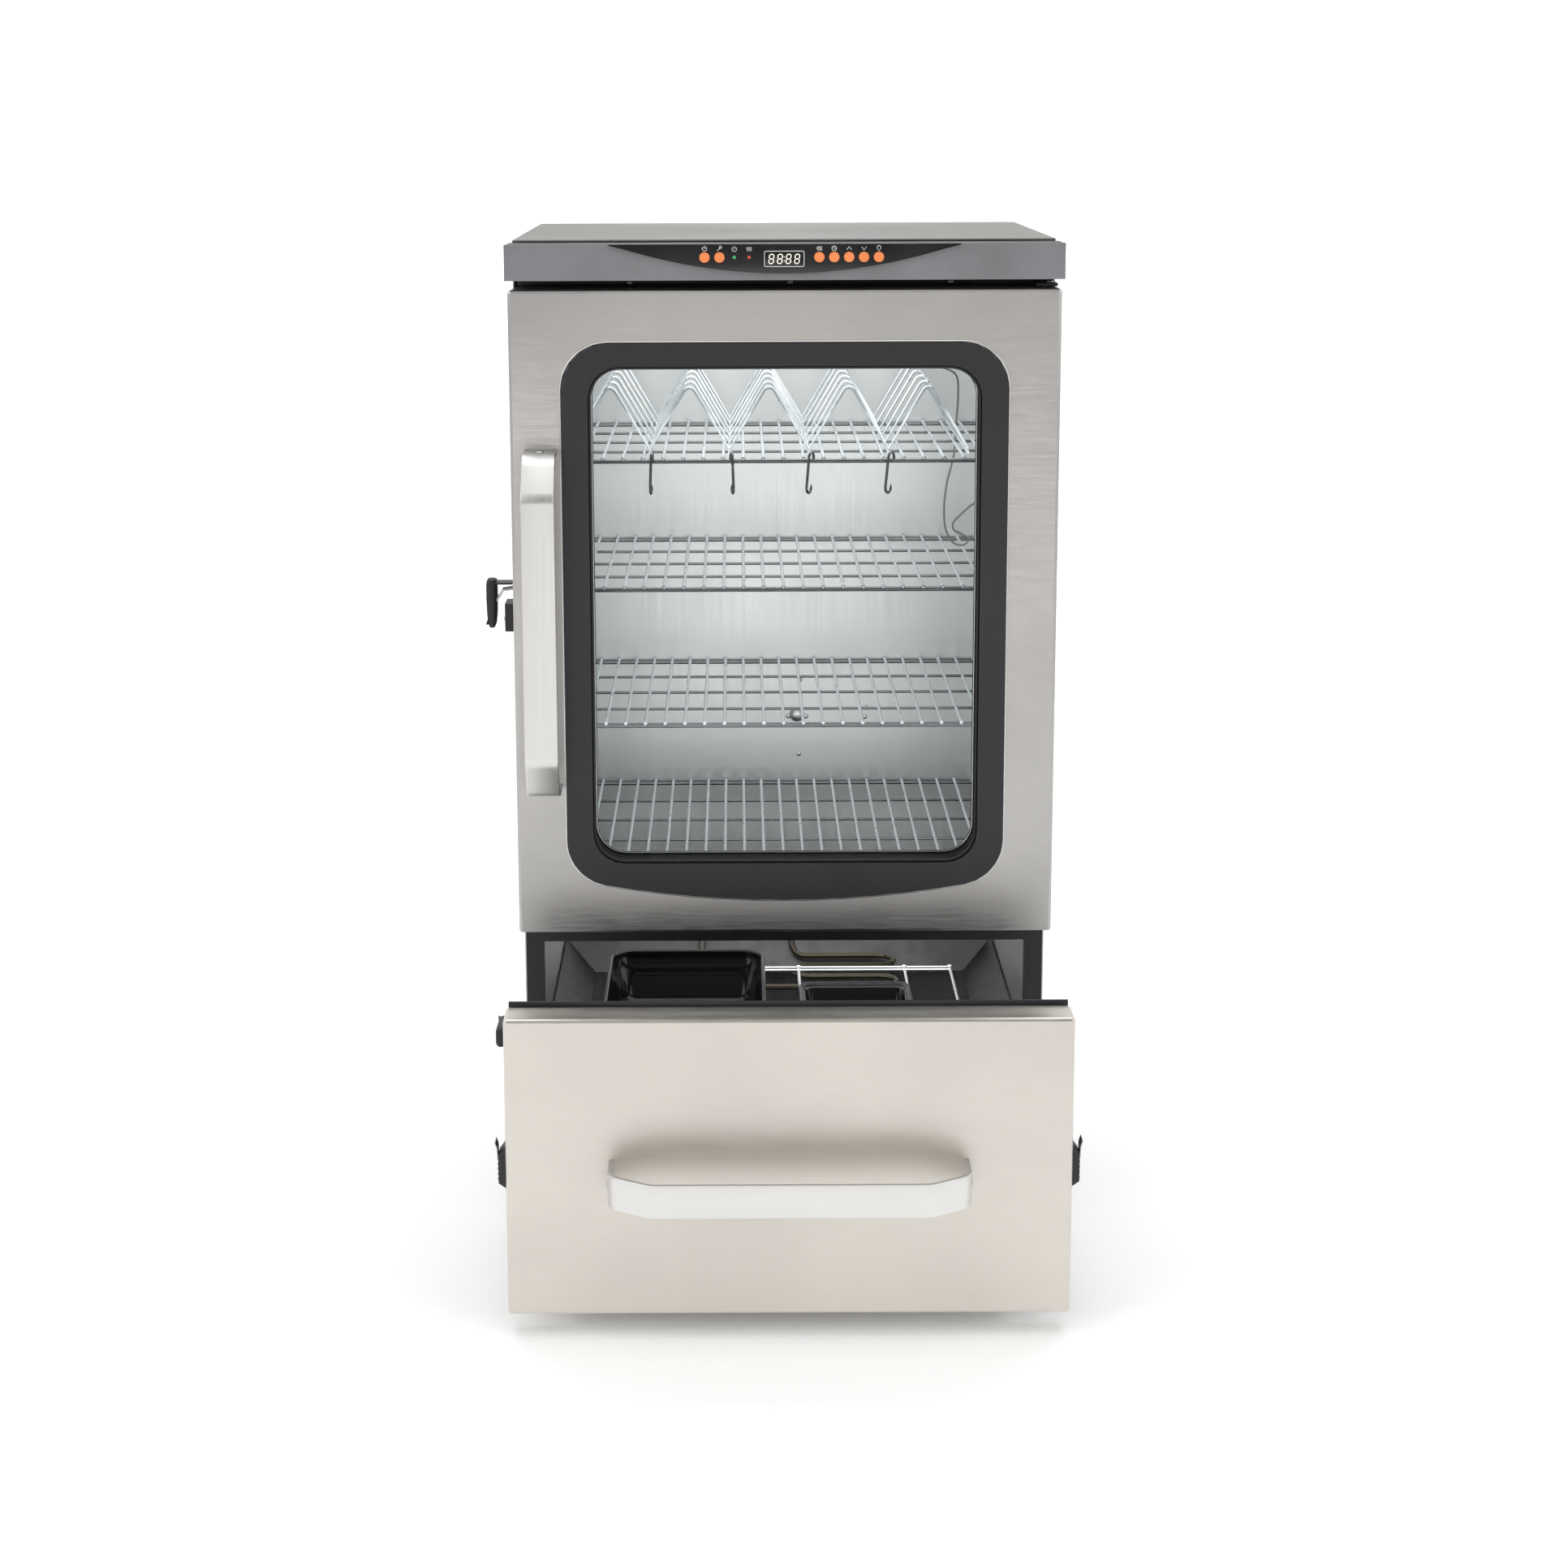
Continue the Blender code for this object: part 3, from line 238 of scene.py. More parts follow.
SCREW = painted("screw_steel", (0.62, 0.62, 0.63), 0.22, 1.0)
PRINT = painted("white_print", (0.82, 0.82, 0.82), 0.5)
SEGMENT_OFF = painted("display_window", (0.016, 0.015, 0.014), 0.15)
SEGMENT = glowing("display_segment", (0.92, 0.88, 0.78), 0.45)
GREEN_LAMP = glowing("green_lamp", (0.04, 0.40, 0.14), 0.18)
RED_LAMP = glowing("red_lamp", (0.60, 0.07, 0.04), 0.18)


def pane(name):
    """Clear glass: it mirrors more at a slant, and otherwise shows what is behind it."""
    made = material(name, (0.02, 0.025, 0.025), 0.04, Specular_IOR_Level=1.0)
    roughen(made, noise(made, 5.0), 0.02, 0.06)
    clear = node(made, "ShaderNodeBsdfTransparent", Color=(0.988, 0.995, 0.993, 1.0))
    mirror = node(made, "ShaderNodeFresnel", IOR=1.25)
    both = node(made, "ShaderNodeMixShader")
    link(made, mirror.outputs["Fac"], both.inputs["Fac"])
    link(made, clear.outputs["BSDF"], both.inputs[1])
    link(made, shader_of(made).outputs["BSDF"], both.inputs[2])
    link(made, both.outputs["Shader"], made.node_tree.nodes["Material Output"].inputs["Surface"])
    return made


GLASS = pane("clear_glass")


def braided(name):
    """A braided steel sleeve: two families of fine diagonal wires."""
    made = material(name, (0.36, 0.34, 0.30), 0.42, 0.8)
    place = node(made, "ShaderNodeTexCoord")
    weave = node(made, "ShaderNodeTexWave", Scale=420.0, Distortion=2.0)
    weave.bands_direction = "DIAGONAL"
    link(made, place.outputs["Object"], weave.inputs["Vector"])
    tint(made, weave.outputs["Fac"], (0.16, 0.15, 0.13), (0.50, 0.48, 0.43))
    bump(made, weave.outputs["Fac"], 0.6, 0.0004)
    return made


BRAID = braided("braided_lead")


# ---------------------------------------------------------------- shapes

def corners_of(name):
    """The low and high corner of a CAD node's box."""
    return [Vector(corner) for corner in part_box(name)]


def wear(item, made, body):
    """Puts an object in the scene with its material, riding on a body."""
    bpy.context.scene.collection.objects.link(item)
    item.data.materials.append(made)
    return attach(item, body) or item


def wires(name, routes, made, body, resolution=3):
    """Round wires as one curve object. A route is its points, its radius and whether it closes."""
    data = bpy.data.curves.new(name, "CURVE")
    data.dimensions = "3D"
    data.bevel_depth = 1.0
    data.bevel_resolution = resolution
    data.use_fill_caps = True
    for points, radius, closed in routes:
        spline = data.splines.new("POLY")
        spline.points.add(len(points) - 1)
        for corner, point in zip(spline.points, points):
            corner.co = (*point, 1.0)
            corner.radius = radius
        spline.use_cyclic_u = closed
        spline.use_smooth = True
    return wear(bpy.data.objects.new(name, data), made, body)


def mesh(name, shape, made, body, soft=True):
    """A mesh object from a bmesh, which it frees."""
    data = bpy.data.meshes.new(name)
    shape.to_mesh(data)
    shape.free()
    for face in data.polygons:
        face.use_smooth = soft
    return wear(bpy.data.objects.new(name, data), made, body)


def arc(centre, radius, start, end, steps):
    """Points round an arc from start to end degrees, both included."""
    turns = [math.radians(start + (end - start) * i / steps) for i in range(steps + 1)]
    return [
        (centre[0] + radius * math.cos(turn), centre[1] + radius * math.sin(turn)) for turn in turns
    ]


def full_turn(steps):
    return [2 * math.pi * i / steps for i in range(steps)]


def rounded(left, right, low, high, radius, steps=8):
    """A rounded rectangle as a list of points, counterclockwise."""
    return [
        *arc((right - radius, high - radius), radius, 0, 90, steps),
        *arc((left + radius, high - radius), radius, 90, 180, steps),
        *arc((left + radius, low + radius), radius, 180, 270, steps),
        *arc((right - radius, low + radius), radius, 270, 360, steps),
    ]


def loft(shape, rings):
    """Skins rings of equally many points in space, and caps both ends."""
    made = [[shape.verts.new(point) for point in ring] for ring in rings]
    count = len(made[0])
    for low, high in zip(made, made[1:]):
        for i in range(count):
            j = (i + 1) % count
            shape.faces.new((low[i], low[j], high[j], high[i]))
    shape.faces.new(list(reversed(made[0])))
    shape.faces.new(made[-1])
    return shape


def slab(shape, outline, back, front, edge):
    """A flat outline facing -Y, with its front edge rounded over."""
    centre = Vector((sum(p[0] for p in outline), sum(p[1] for p in outline))) / len(outline)
    rings = []
    steps = 3
    for i in range(-1, steps + 1):
        turn = math.radians(90 * max(i, 0) / steps)
        inward = edge * (1 - math.cos(turn))
        depth = back if i < 0 else front + edge * (1 - math.sin(turn))
        ring = []
        for x, z in outline:
            away = Vector((x, z)) - centre
            away *= max(0.0, 1 - inward / max(away.length, 1e-6))
            ring.append((centre.x + away.x, depth, centre.y + away.y))
        rings.append(ring)
    return loft(shape, rings)


def dome(shape, centre, radius, height, facing, steps=14):
    """A rounded cap, such as a screw or rivet head, standing on a surface that faces that way."""
    turned = Vector((0.0, 0.0, 1.0)).rotation_difference(Vector(facing)).to_matrix()
    rings = []
    for share, rise in ((1.0, 0.0), (1.0, 0.35), (0.9, 0.7), (0.6, 0.93), (0.25, 1.0)):
        ring = [
            (radius * share * math.cos(a), radius * share * math.sin(a), height * rise)
            for a in full_turn(steps)
        ]
        rings.append([Vector(centre) + turned @ Vector(point) for point in ring])
    return loft(shape, rings)


def domes(name, centres, radius, height, facing, made, body):
    shape = bmesh.new()
    for centre in centres:
        dome(shape, centre, radius, height, facing)
    return mesh(name, shape, made, body)


def smooth_route(anchors, step):
    """Points about a step apart along a Catmull-Rom curve through the anchors."""
    anchors = [Vector(a) for a in anchors]
    padded = [2 * anchors[0] - anchors[1], *anchors, 2 * anchors[-1] - anchors[-2]]
    route = [anchors[0]]
    for a, b, c, d in zip(padded, padded[1:], padded[2:], padded[3:]):
        pieces = max(1, round((c - b).length / step))
        for i in range(1, pieces + 1):
            t = i / pieces
            route.append(
                0.5 * (2 * b + (c - a) * t + (2 * a - 5 * b + 4 * c - d) * t * t
                       + (3 * b - a - 3 * c + d) * t ** 3)
            )
    return route


# ---------------------------------------------------------------- camera and cord

def make_camera():
    data = bpy.data.cameras.new("camera")
    data.lens = 60.89
    data.shift_x = 0.0301
    data.shift_y = -0.12
    camera = bpy.data.objects.new("camera", data)
    camera.location = (-0.047, -2.635, 1.144)
    pitch = math.radians(90 - 10.33)
    roll = math.radians(-0.22)
    turned = Matrix.Rotation(pitch, 3, "X") @ Matrix.Rotation(roll, 3, "Z")
    camera.rotation_euler = turned.to_euler()
    bpy.context.scene.collection.objects.link(camera)
    bpy.context.scene.camera = camera


def make_probe():
    """The probe's lead, from the jack in the right wall, round a loop and up to the probe."""
    jack_low, jack_high = corners_of("probe_jack")
    across = (jack_low.y + jack_high.y) / 2
    probe_low, probe_high = corners_of("meat_probe")
    tip = (probe_low + probe_high) / 2
    anchors = [
        (0.238, across, 0.735), (0.222, across, 0.733), (0.207, across, 0.724),
        (0.196, across, 0.714), (0.188, across, 0.705), (0.189, across, 0.697),
        (0.197, across, 0.693), (0.204, across, 0.687), (0.200, across, 0.681),
        (0.189, across, 0.683), (0.180, across, 0.698), (0.178, across, 0.722),
        (0.181, across, 0.750), (0.188, across, 0.780), (0.190, across, 0.812),
        (0.191, across - 0.010, 0.845), (0.187, across - 0.036, 0.868),
        (0.174, across - 0.057, 0.878), (0.158, across - 0.064, 0.881),
        (0.1475, across - 0.056, 0.880), (tip.x, probe_low.y - 0.0003, tip.z),
    ]
    route = smooth_route(anchors, 0.002)
    lead = wires("probe_lead_braid", [(route, LEAD_DIAMETER / 2, False)], BRAID, "cabinet")
    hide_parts("probe_lead")
    start, height, droop = 0.2378, 0.735, 0.12
    rings = []
    for along, radius in (
        (0.0, 0.0048), (0.004, 0.0048), (0.005, 0.0036), (0.016, 0.0026), (0.021, 0.0014)
    ):
        z = height - droop * along
        rings.append([
            (start - along, across + radius * math.cos(a), z + radius * math.sin(a))
            for a in full_turn(14)
        ])
    relief = mesh("probe_strain_relief", loft(bmesh.new(), rings), CHROME, "cabinet")


# ---------------------------------------------------------------- racks

def make_shelf(number, height):
    """Wires from front to back, welded on cross wires, with a doubled rail in front."""
    low, high = corners_of(f"shelf_{number}")
    edge = SHELF_HALF - FRAME_RADIUS
    bars = int(edge / BAR_PITCH)
    top = height + 0.002 - BAR_RADIUS
    places = [i * BAR_PITCH for i in range(-bars, bars + 1)]
    lengths = [
        ([(x, low.y - 0.001, top), (x, high.y + 0.0005, top)], BAR_RADIUS, False) for x in places
    ]
    made = wires(f"shelf_{number}_bars", lengths, CHROME, "cabinet", 2)
    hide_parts(f"shelf_{number}")
    rim = rounded(-edge, edge, low.y + FRAME_RADIUS, high.y - FRAME_RADIUS, 0.012, 6)
    rail = top - BAR_RADIUS - FRAME_RADIUS + 0.0003
    routes = [([(x, y, rail) for x, y in rim], FRAME_RADIUS, True)]
    for share in (0.030, 0.25, 0.50, 0.75):
        y = low.y + (high.y - low.y) * share
        routes.append(([(-edge, y, rail), (edge, y, rail)], FRAME_RADIUS * 0.8, False))
    wires(f"shelf_{number}_frame", routes, SHADED_CHROME, "cabinet", 2)
    joints = bmesh.new()
    for x in places:
        dome(joints, (x, low.y - 0.0012, top), 0.0021, 0.0012, FACING_OUT, 8)
    mesh(f"shelf_{number}_welds", joints, CHROME, "cabinet")


def make_rib_rack():
    """Rows of zigzag wire with rounded peaks, welded on runners under their valleys."""
    low, high = corners_of("rib_rack")
    valley = low.z + 3 * RIB_WIRE
    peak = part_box("meat_probe")[0][2] - 0.0004 - RIB_WIRE
    half = RIB_PEAKS * RIB_PITCH / 2
    tilt = 90 - math.degrees(math.atan2(peak - valley, RIB_PITCH / 2))
    bend = 0.006
    routes = []
    for row in range(RIB_ROWS):
        y = low.y + 0.002 + row * RIB_ROW_PITCH
        points = []
        for number in range(RIB_PEAKS + 1):
            x = RIB_X - half + number * RIB_PITCH
            points.append((x, y, valley))
            if number < RIB_PEAKS:
                centre = (x + RIB_PITCH / 2, peak - bend)
                points += [(u, y, v) for u, v in arc(centre, bend, 180 - tilt, tilt, 8)]
        routes.append((points, RIB_WIRE, False))
    runner = low.z + RIB_WIRE
    for number in range(RIB_PEAKS + 1):
        x = RIB_X - half + number * RIB_PITCH
        routes.append(([(x, low.y, runner), (x, high.y, runner)], RIB_WIRE, False))
    made = wires("rib_rack_wires", routes, CHROME, "cabinet", 2)
    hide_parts("rib_rack")


def make_hooks():
    """S-hooks over the front rail, bent from round wire with tapered points."""
    for number in range(1, RIB_PEAKS):
        name = f"meat_hook_{number}"
        low, high = corners_of(name)
        x = (low.x + high.x) / 2
        wire = (high.x - low.x) / 2
        loop, crook = 0.0062, 0.006
        middle = high.y - loop - wire
        over = arc((middle, high.z - loop - wire), loop, -40, 180, 18)
        below = arc((middle - 2 * loop + crook, low.z + crook + wire), crook, 180, 380, 16)
        twist = math.radians(HOOK_TWISTS[number - 1])
        points = [
            (x + (y - middle) * math.sin(twist), middle + (y - middle) * math.cos(twist), z)
            for y, z in over + below
        ]
        route = smooth_route(points, 0.0015)
        made = wires(f"{name}_wire", [(route, wire, False)], SHADED_CHROME, name)
        for corner, share in zip(reversed(made.data.splines[0].points), (0.15, 0.4, 0.7, 0.9)):
            corner.radius = wire * share
        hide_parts(name)


def make_cradle():
    """The wire cradle that carries the pans behind the drawer front."""
    low, high = corners_of("pan_cradle")
    pan_low, pan_high = corners_of("water_pan")
    chip_low, chip_high = corners_of("chip_box")
    z = (low.z + high.z) / 2
    wire, under = 0.0019, 0.002
    left, right = low.x + wire, high.x - wire
    back = high.y - wire
    rails = (left, pan_high.x - under, chip_low.x + under, chip_high.x - under, right)
    routes = [([(x, low.y, z), (x, back, z)], wire, False) for x in rails]
    for start, end, y in (
        (left, right, back), (left, right, pan_low.y + under), (rails[1], right, back - 0.009),
        (rails[2], rails[3], chip_low.y + under), (rails[2], rails[3], chip_high.y - under),
    ):
        routes.append(([(start, y, z), (end, y, z)], wire, False))
    made = wires("pan_cradle_wires", routes, SCREW, "drawer", 2)
    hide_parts("pan_cradle")
    joints = bmesh.new()
    for x in rails:
        dome(joints, (x, back, z + wire * 0.7), 0.0026, 0.0016, (0.0, 0.0, 1.0), 8)
    mesh("pan_cradle_welds", joints, CHROME, "drawer")


def make_pan(node_name, corner, shoulder):
    """An enamelled pan with wide corners, a rounded floor and a rolled rim above its shoulder."""
    low, high = corners_of(node_name)
    centre = (low + high) / 2
    half_x, half_y = (high.x - low.x) / 2, (high.y - low.y) / 2
    sheet, rim = 0.0022, 0.0045
    profile = [
        (0.030, low.z), (0.0175, low.z), (0.0140, low.z + 0.0025), (0.0125, low.z + 0.007),
        (0.0060, shoulder), (0.0008, shoulder + 0.0012), (0.0, shoulder + 0.004),
        (0.0, high.z - 0.003), (0.0006, high.z - 0.0009), (0.0020, high.z),
        (rim - 0.0006, high.z - 0.0008), (rim, high.z - 0.003), (rim + 0.0004, shoulder + 0.006),
        (0.0060 + sheet, shoulder + 0.002), (0.0125 + sheet, low.z + 0.010),
        (0.0150 + sheet, low.z + 0.0048), (0.0190 + sheet, low.z + sheet), (0.034, low.z + sheet),
    ]
    rings = []
    for inset, z in profile:
        radius = max(0.002, corner - 0.7 * inset)
        outline = rounded(-half_x + inset, half_x - inset, -half_y + inset, half_y - inset, radius)
        rings.append([(centre.x + x, centre.y + y, z) for x, y in outline])
    shape = loft(bmesh.new(), rings)
    made = mesh(f"{node_name}_enamelled", shape, ENAMEL, node_name)
    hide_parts(node_name)


# ---------------------------------------------------------------- door

def trim_outline(grow):
    """The window trim's outer edge, grown by an amount. Its foot bows down in the middle."""
    low, high = corners_of("window_trim")
    lean = math.radians(TRIM_LEAN)
    half, radius = high.x + grow, TRIM_CORNER + grow
    side = half - radius
    reach = side + radius * math.sin(lean)
    arch = reach * math.tan(lean) / 2
    foot = low.z - grow + arch
    centre = foot + radius * math.cos(lean)
    outline = [
        *arc((side, high.z + grow - radius), radius, 0, 90, 10),
        *arc((-side, high.z + grow - radius), radius, 90, 180, 10),
        *arc((-side, centre), radius, 180, 270 - TRIM_LEAN, 10),
    ]
    for i in range(1, 24):
        share = -1 + i / 12
        outline.append((share * reach, foot - arch * (1 - share * share)))
    return outline + arc((side, centre), radius, 270 + TRIM_LEAN, 360, 10)


def make_window():
    """The bead round the trim, and the seals round both panes."""
    bead = [(x, DOOR_FACE - 0.0004, z) for x, z in trim_outline(0.0012)]
    wires("window_bead", [(bead, 0.0012, True)], HANDLE_UPRIGHT, "door")
    low, high = corners_of("outer_glass")
    inset = 0.0075
    opening = rounded(low.x + inset, high.x - inset, low.z + inset, high.z - inset, 0.030, 10)
    seal = [(x, DOOR_FACE - 0.0006, z) for x, z in opening]
    wires("window_seal", [(seal, 0.0016, True)], RUBBER, "door")
    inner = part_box("inner_glass")[0][1]
    frame_line = [(x, inner - 0.0010, z) for x, z in opening]
    wires("inner_glass_frame", [(frame_line, 0.0016, True)], SCREW, "door")


def filleted(corners, radius, steps):
    """A path with each inner corner turned into an arc of that radius."""
    corners = [Vector(corner) for corner in corners]
    path = [corners[0]]
    for before, corner, after in zip(corners, corners[1:], corners[2:]):
        back, on = (before - corner).normalized(), (after - corner).normalized()
        half = back.angle(on) / 2
        centre = corner + (back + on).normalized() * radius / math.sin(half)
        start = corner + back * radius / math.tan(half) - centre
        end = corner + on * radius / math.tan(half) - centre
        for i in range(steps + 1):
            path.append(centre + start.slerp(end, i / steps).normalized() * radius)
    return path + [corners[-1]]


def make_handle(node_name, body, made):
    """A flat steel strip bent into a handle with rounded bends and eased edges."""
    low, high = corners_of(node_name)
    upright = high.z - low.z > high.x - low.x
    centre = (low + high) / 2
    width, half = sorted(((high.x - low.x) / 2, (high.z - low.z) / 2))
    core = HANDLE_SHEET / 2
    shoulder, slant = 0.038, 0.040
    face, reach = high.y, high.y - low.y
    bends = [
        (-half + core, 0.0), (-half + core, shoulder), (-half + slant, reach - core),
        (half - slant, reach - core), (half - core, shoulder), (half - core, 0.0),
    ]
    path = filleted([(u, v, 0.0) for u, v in bends], 0.020, 12)
    section = rounded(-core, core, -width, width, 0.0008, 3)
    rings = []
    for i, point in enumerate(path):
        along = (path[min(i + 1, len(path) - 1)] - path[max(i - 1, 0)]).normalized()
        ring = []
        for thick, wide in section:
            u, y = point.x - along.y * thick, face - point.y - along.x * thick
            x, z = (wide, u) if upright else (u, wide)
            ring.append((centre.x + x, y, centre.z + z))
        rings.append(ring)
    shape = loft(bmesh.new(), rings)
    bmesh.ops.recalc_face_normals(shape, faces=shape.faces)
    item = mesh(f"{node_name}_strip", shape, made, body)
    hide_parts(node_name)
    for side in (-1, 1):
        facing = (0, 0, side) if upright else (side, 0, 0)
        spot = Vector(facing) * half + Vector((centre.x, face - 0.020, centre.z))
        name = f"{node_name}_bolt_{'low' if side < 0 else 'high'}"
        domes(name, [spot], 0.0045, 0.0014, facing, SCREW, body)


# ---------------------------------------------------------------- control panel

def segments(shape, x, z, width, height, front):
    """One figure of a seven-segment display, with all seven bars lit."""
    w, h, bar, gap, slant = width / 2, height / 2, height * 0.11, height * 0.035, 0.10
    for line in (
        ((-w, h), (w, h)), ((w, 0), (w, h)), ((w, -h), (w, 0)), ((-w, -h), (w, -h)),
        ((-w, -h), (-w, 0)), ((-w, 0), (-w, h)), ((-w, 0), (w, 0)),
    ):
        start, end = (Vector(point) for point in line)
        along = (end - start).normalized()
        side = Vector((-along.y, along.x)) * bar / 2
        a, b = start + along * gap, end - along * gap
        tips = [a, a + along * bar / 2 + side, b - along * bar / 2 + side, b,
                b - along * bar / 2 - side, a + along * bar / 2 - side]
        outline = [(x + p.x + slant * p.y, z + p.y) for p in tips]
        loft(shape, [[(u, depth, v) for u, v in outline] for depth in (front + 0.0004, front)])


def icon_routes(kind, x, z, y):
    """A small generic symbol, as stroke points round x and z."""
    s = 0.0022
    if kind == "power":
        return [[(x + u, y, z + v) for u, v in arc((0, 0), s, 125, 415, 14)],
                [(x, y, z), (x, y, z + 1.3 * s)]]
    if kind == "clock":
        return [[(x + u, y, z + v) for u, v in arc((0, 0), s, 0, 360, 16)],
                [(x, y, z + 0.6 * s), (x, y, z), (x + 0.5 * s, y, z - 0.3 * s)]]
    if kind == "up":
        return [[(x - s, y, z - 0.6 * s), (x, y, z + 0.8 * s), (x + s, y, z - 0.6 * s)]]
    if kind == "down":
        return [[(x - s, y, z + 0.6 * s), (x, y, z - 0.8 * s), (x + s, y, z + 0.6 * s)]]
    if kind == "heat":
        return [[(x + d + 0.3 * s * math.sin(4 * t), y, z + s * (t - 1) * 0.9)
                 for t in (i / 5 for i in range(11))] for d in (-0.8 * s, 0.0, 0.8 * s)]
    if kind == "probe":
        head = arc((0.5 * s, 0.6 * s), 0.5 * s, 0, 360, 10)
        return [[(x - s, y, z - s), (x + 0.3 * s, y, z + 0.3 * s)],
                [(x + u, y, z + v) for u, v in head]]
    assert kind == "lamp", kind
    return [[(x + u, y, z + v) for u, v in arc((0, 0.3 * s), 0.8 * s, -60, 240, 12)],
            [(x - 0.4 * s, y, z - 0.9 * s), (x + 0.4 * s, y, z - 0.9 * s)]]


def button_x(number):
    low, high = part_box(f"button_{number}")
    return (low[0] + high[0]) / 2


def make_controls():
    """Lamps, display, symbols and the dark rings round the buttons, on the overlay's face."""
    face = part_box("control_overlay")[0][1]
    low, high = corners_of("button_1")
    height = (low.z + high.z) / 2
    step = button_x(2) - button_x(1)
    lamps = [button_x(2) + step * i for i in (1, 2)]
    for name, x, made in (("run_lamp", lamps[0], GREEN_LAMP), ("heat_lamp", lamps[1], RED_LAMP)):
        domes(name, [(x, face, height)], 0.0016, 0.0009, FACING_OUT, made, "cabinet")
    centre, wide, tall = -0.0005, 0.0378, 0.0146
    middle = height - 0.0016
    outline = rounded(
        centre - wide / 2, centre + wide / 2, middle - tall / 2, middle + tall / 2, 0.0012, 4
    )
    window = slab(bmesh.new(), outline, face + 0.0004, face - 0.0006, 0.0004)
    mesh("display_window", window, SEGMENT_OFF, "cabinet")
    edge = [(x, face - 0.0006, z) for x, z in outline]
    wires("display_rim", [(edge, 0.00035, True)], PRINT, "cabinet", 1)
    digits = bmesh.new()
    for i in range(4):
        x = centre + (i - 1.5) * 0.0082
        segments(digits, x, middle, 0.0042, 0.0086, face - 0.0010)
    mesh("display_digits", digits, SEGMENT, "cabinet", False)
    colon = [(centre, face - 0.0006, middle + d) for d in (-0.0018, 0.0018)]
    domes("display_colon", colon, 0.0005, 0.0004, FACING_OUT, SEGMENT, "cabinet")
    print_y = face - 0.0001
    symbols = [
        (kind, button_x(number), height + 0.0082, 0.00032)
        for number, kind in enumerate(("power", "probe", "heat", "clock", "up", "down", "lamp"), 1)
    ]
    symbols += [(kind, x, height + 0.0078, 0.00026) for x, kind in zip(lamps, ("power", "heat"))]
    strokes = []
    for kind, x, z, radius in symbols:
        strokes += [(route, radius, False) for route in icon_routes(kind, x, z, print_y)]
    wires("panel_symbols", strokes, PRINT, "cabinet", 1)
    rings = []
    for number in range(1, 8):
        around = arc((button_x(number), height), 0.0056, 0, 345, 22)
        rings.append(([(u, print_y, v) for u, v in around], 0.0003, True))
    wires("button_surrounds", rings, RUBBER, "cabinet", 1)


def make_top_strip():
    """The dark recess over the door, with its screws and the hinge's bolt."""
    low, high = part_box("front_frame")
    fascia_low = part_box("fascia")[0][2]
    outline = rounded(
        low[0] + 0.003, high[0] - 0.003, high[2] + 0.0005, fascia_low + 0.010, 0.004, 6
    )
    face = FRONT - 0.003
    recess = slab(bmesh.new(), outline, FRONT + 0.001, face, 0.001)
    mesh("top_recess", recess, BLACK_PAINT, "cabinet")
    screws = [(x, face, high[2] + 0.0035) for x in (-0.150, 0.006, 0.162)]
    domes("recess_screws", screws, 0.0032, 0.002, FACING_OUT, SHADED_CHROME, "cabinet")
    low, high = corners_of("hinge_bracket_top")
    bolt = ((low.x + high.x) / 2 + 0.004, low.y + 0.012, high.z)
    domes("hinge_bolt", [bolt], 0.0052, 0.0035, (0, 0, 1), SCREW, "cabinet")


# ---------------------------------------------------------------- latches

def grip(name, body, pivot_y, height, side, turned):
    """The grip on a latch lever and its wire bail, turned back where the lever is open."""
    low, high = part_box(f"{body}_lever")
    reach = max(-low[0], high[0]) - 0.0060 - LATCH_ROOT
    rings = []
    for z, wide, thick in (
        (0.0095, 0.006, 0.006), (0.0085, 0.0092, 0.0090), (0.004, 0.0100, 0.0108),
        (-0.010, 0.0100, 0.0110), (-0.026, 0.0098, 0.0100), (-0.036, 0.0092, 0.0078),
        (-0.0395, 0.0070, 0.0050),
    ):
        outline = rounded(-thick / 2, thick / 2, -wide, wide, thick * 0.42, 4)
        rings.append([(side * (reach + u), v, z) for u, v in outline])
    shape = loft(bmesh.new(), rings)
    if side < 0:
        bmesh.ops.reverse_faces(shape, faces=shape.faces)
    turn = Matrix.Rotation(math.pi / 2 if turned else 0.0, 4, "X")
    place = Matrix.Translation((side * LATCH_ROOT, pivot_y, height)) @ turn
    shape.transform(place)
    mesh(name, shape, RUBBER, body)
    bail = []
    for v in (-0.0062, 0.0062):
        route = [(0.0055, v, 0.0), (0.0165, v, -0.0015), (reach - 0.003, v, -0.0150)]
        bail.append(([tuple(place @ Vector((side * u, v, z))) for u, v, z in route], 0.0012, False))
    wires(f"{name}_bail", bail, SCREW, body, 2)


def make_latches():
    """A grip on each lever, and two rivets on the outside of each base."""
    for name, side, turned in (
        ("door_latch", -1, False),
        ("drawer_latch_left", -1, True),
        ("drawer_latch_right", 1, False),
    ):
        low, high = corners_of(f"{name}_base")
        pivot_y = (low.y + high.y) / 2
        grip(f"{name}_grip", name, pivot_y, high.z - 0.012, side, turned)
        outer = low.x if side < 0 else high.x
        rivets = [(outer, pivot_y + d, low.z + 0.012) for d in (-0.0095, 0.0095)]
        domes(f"{name}_rivets", rivets, 0.0026, 0.0012, (side, 0, 0), SCREW, "cabinet")


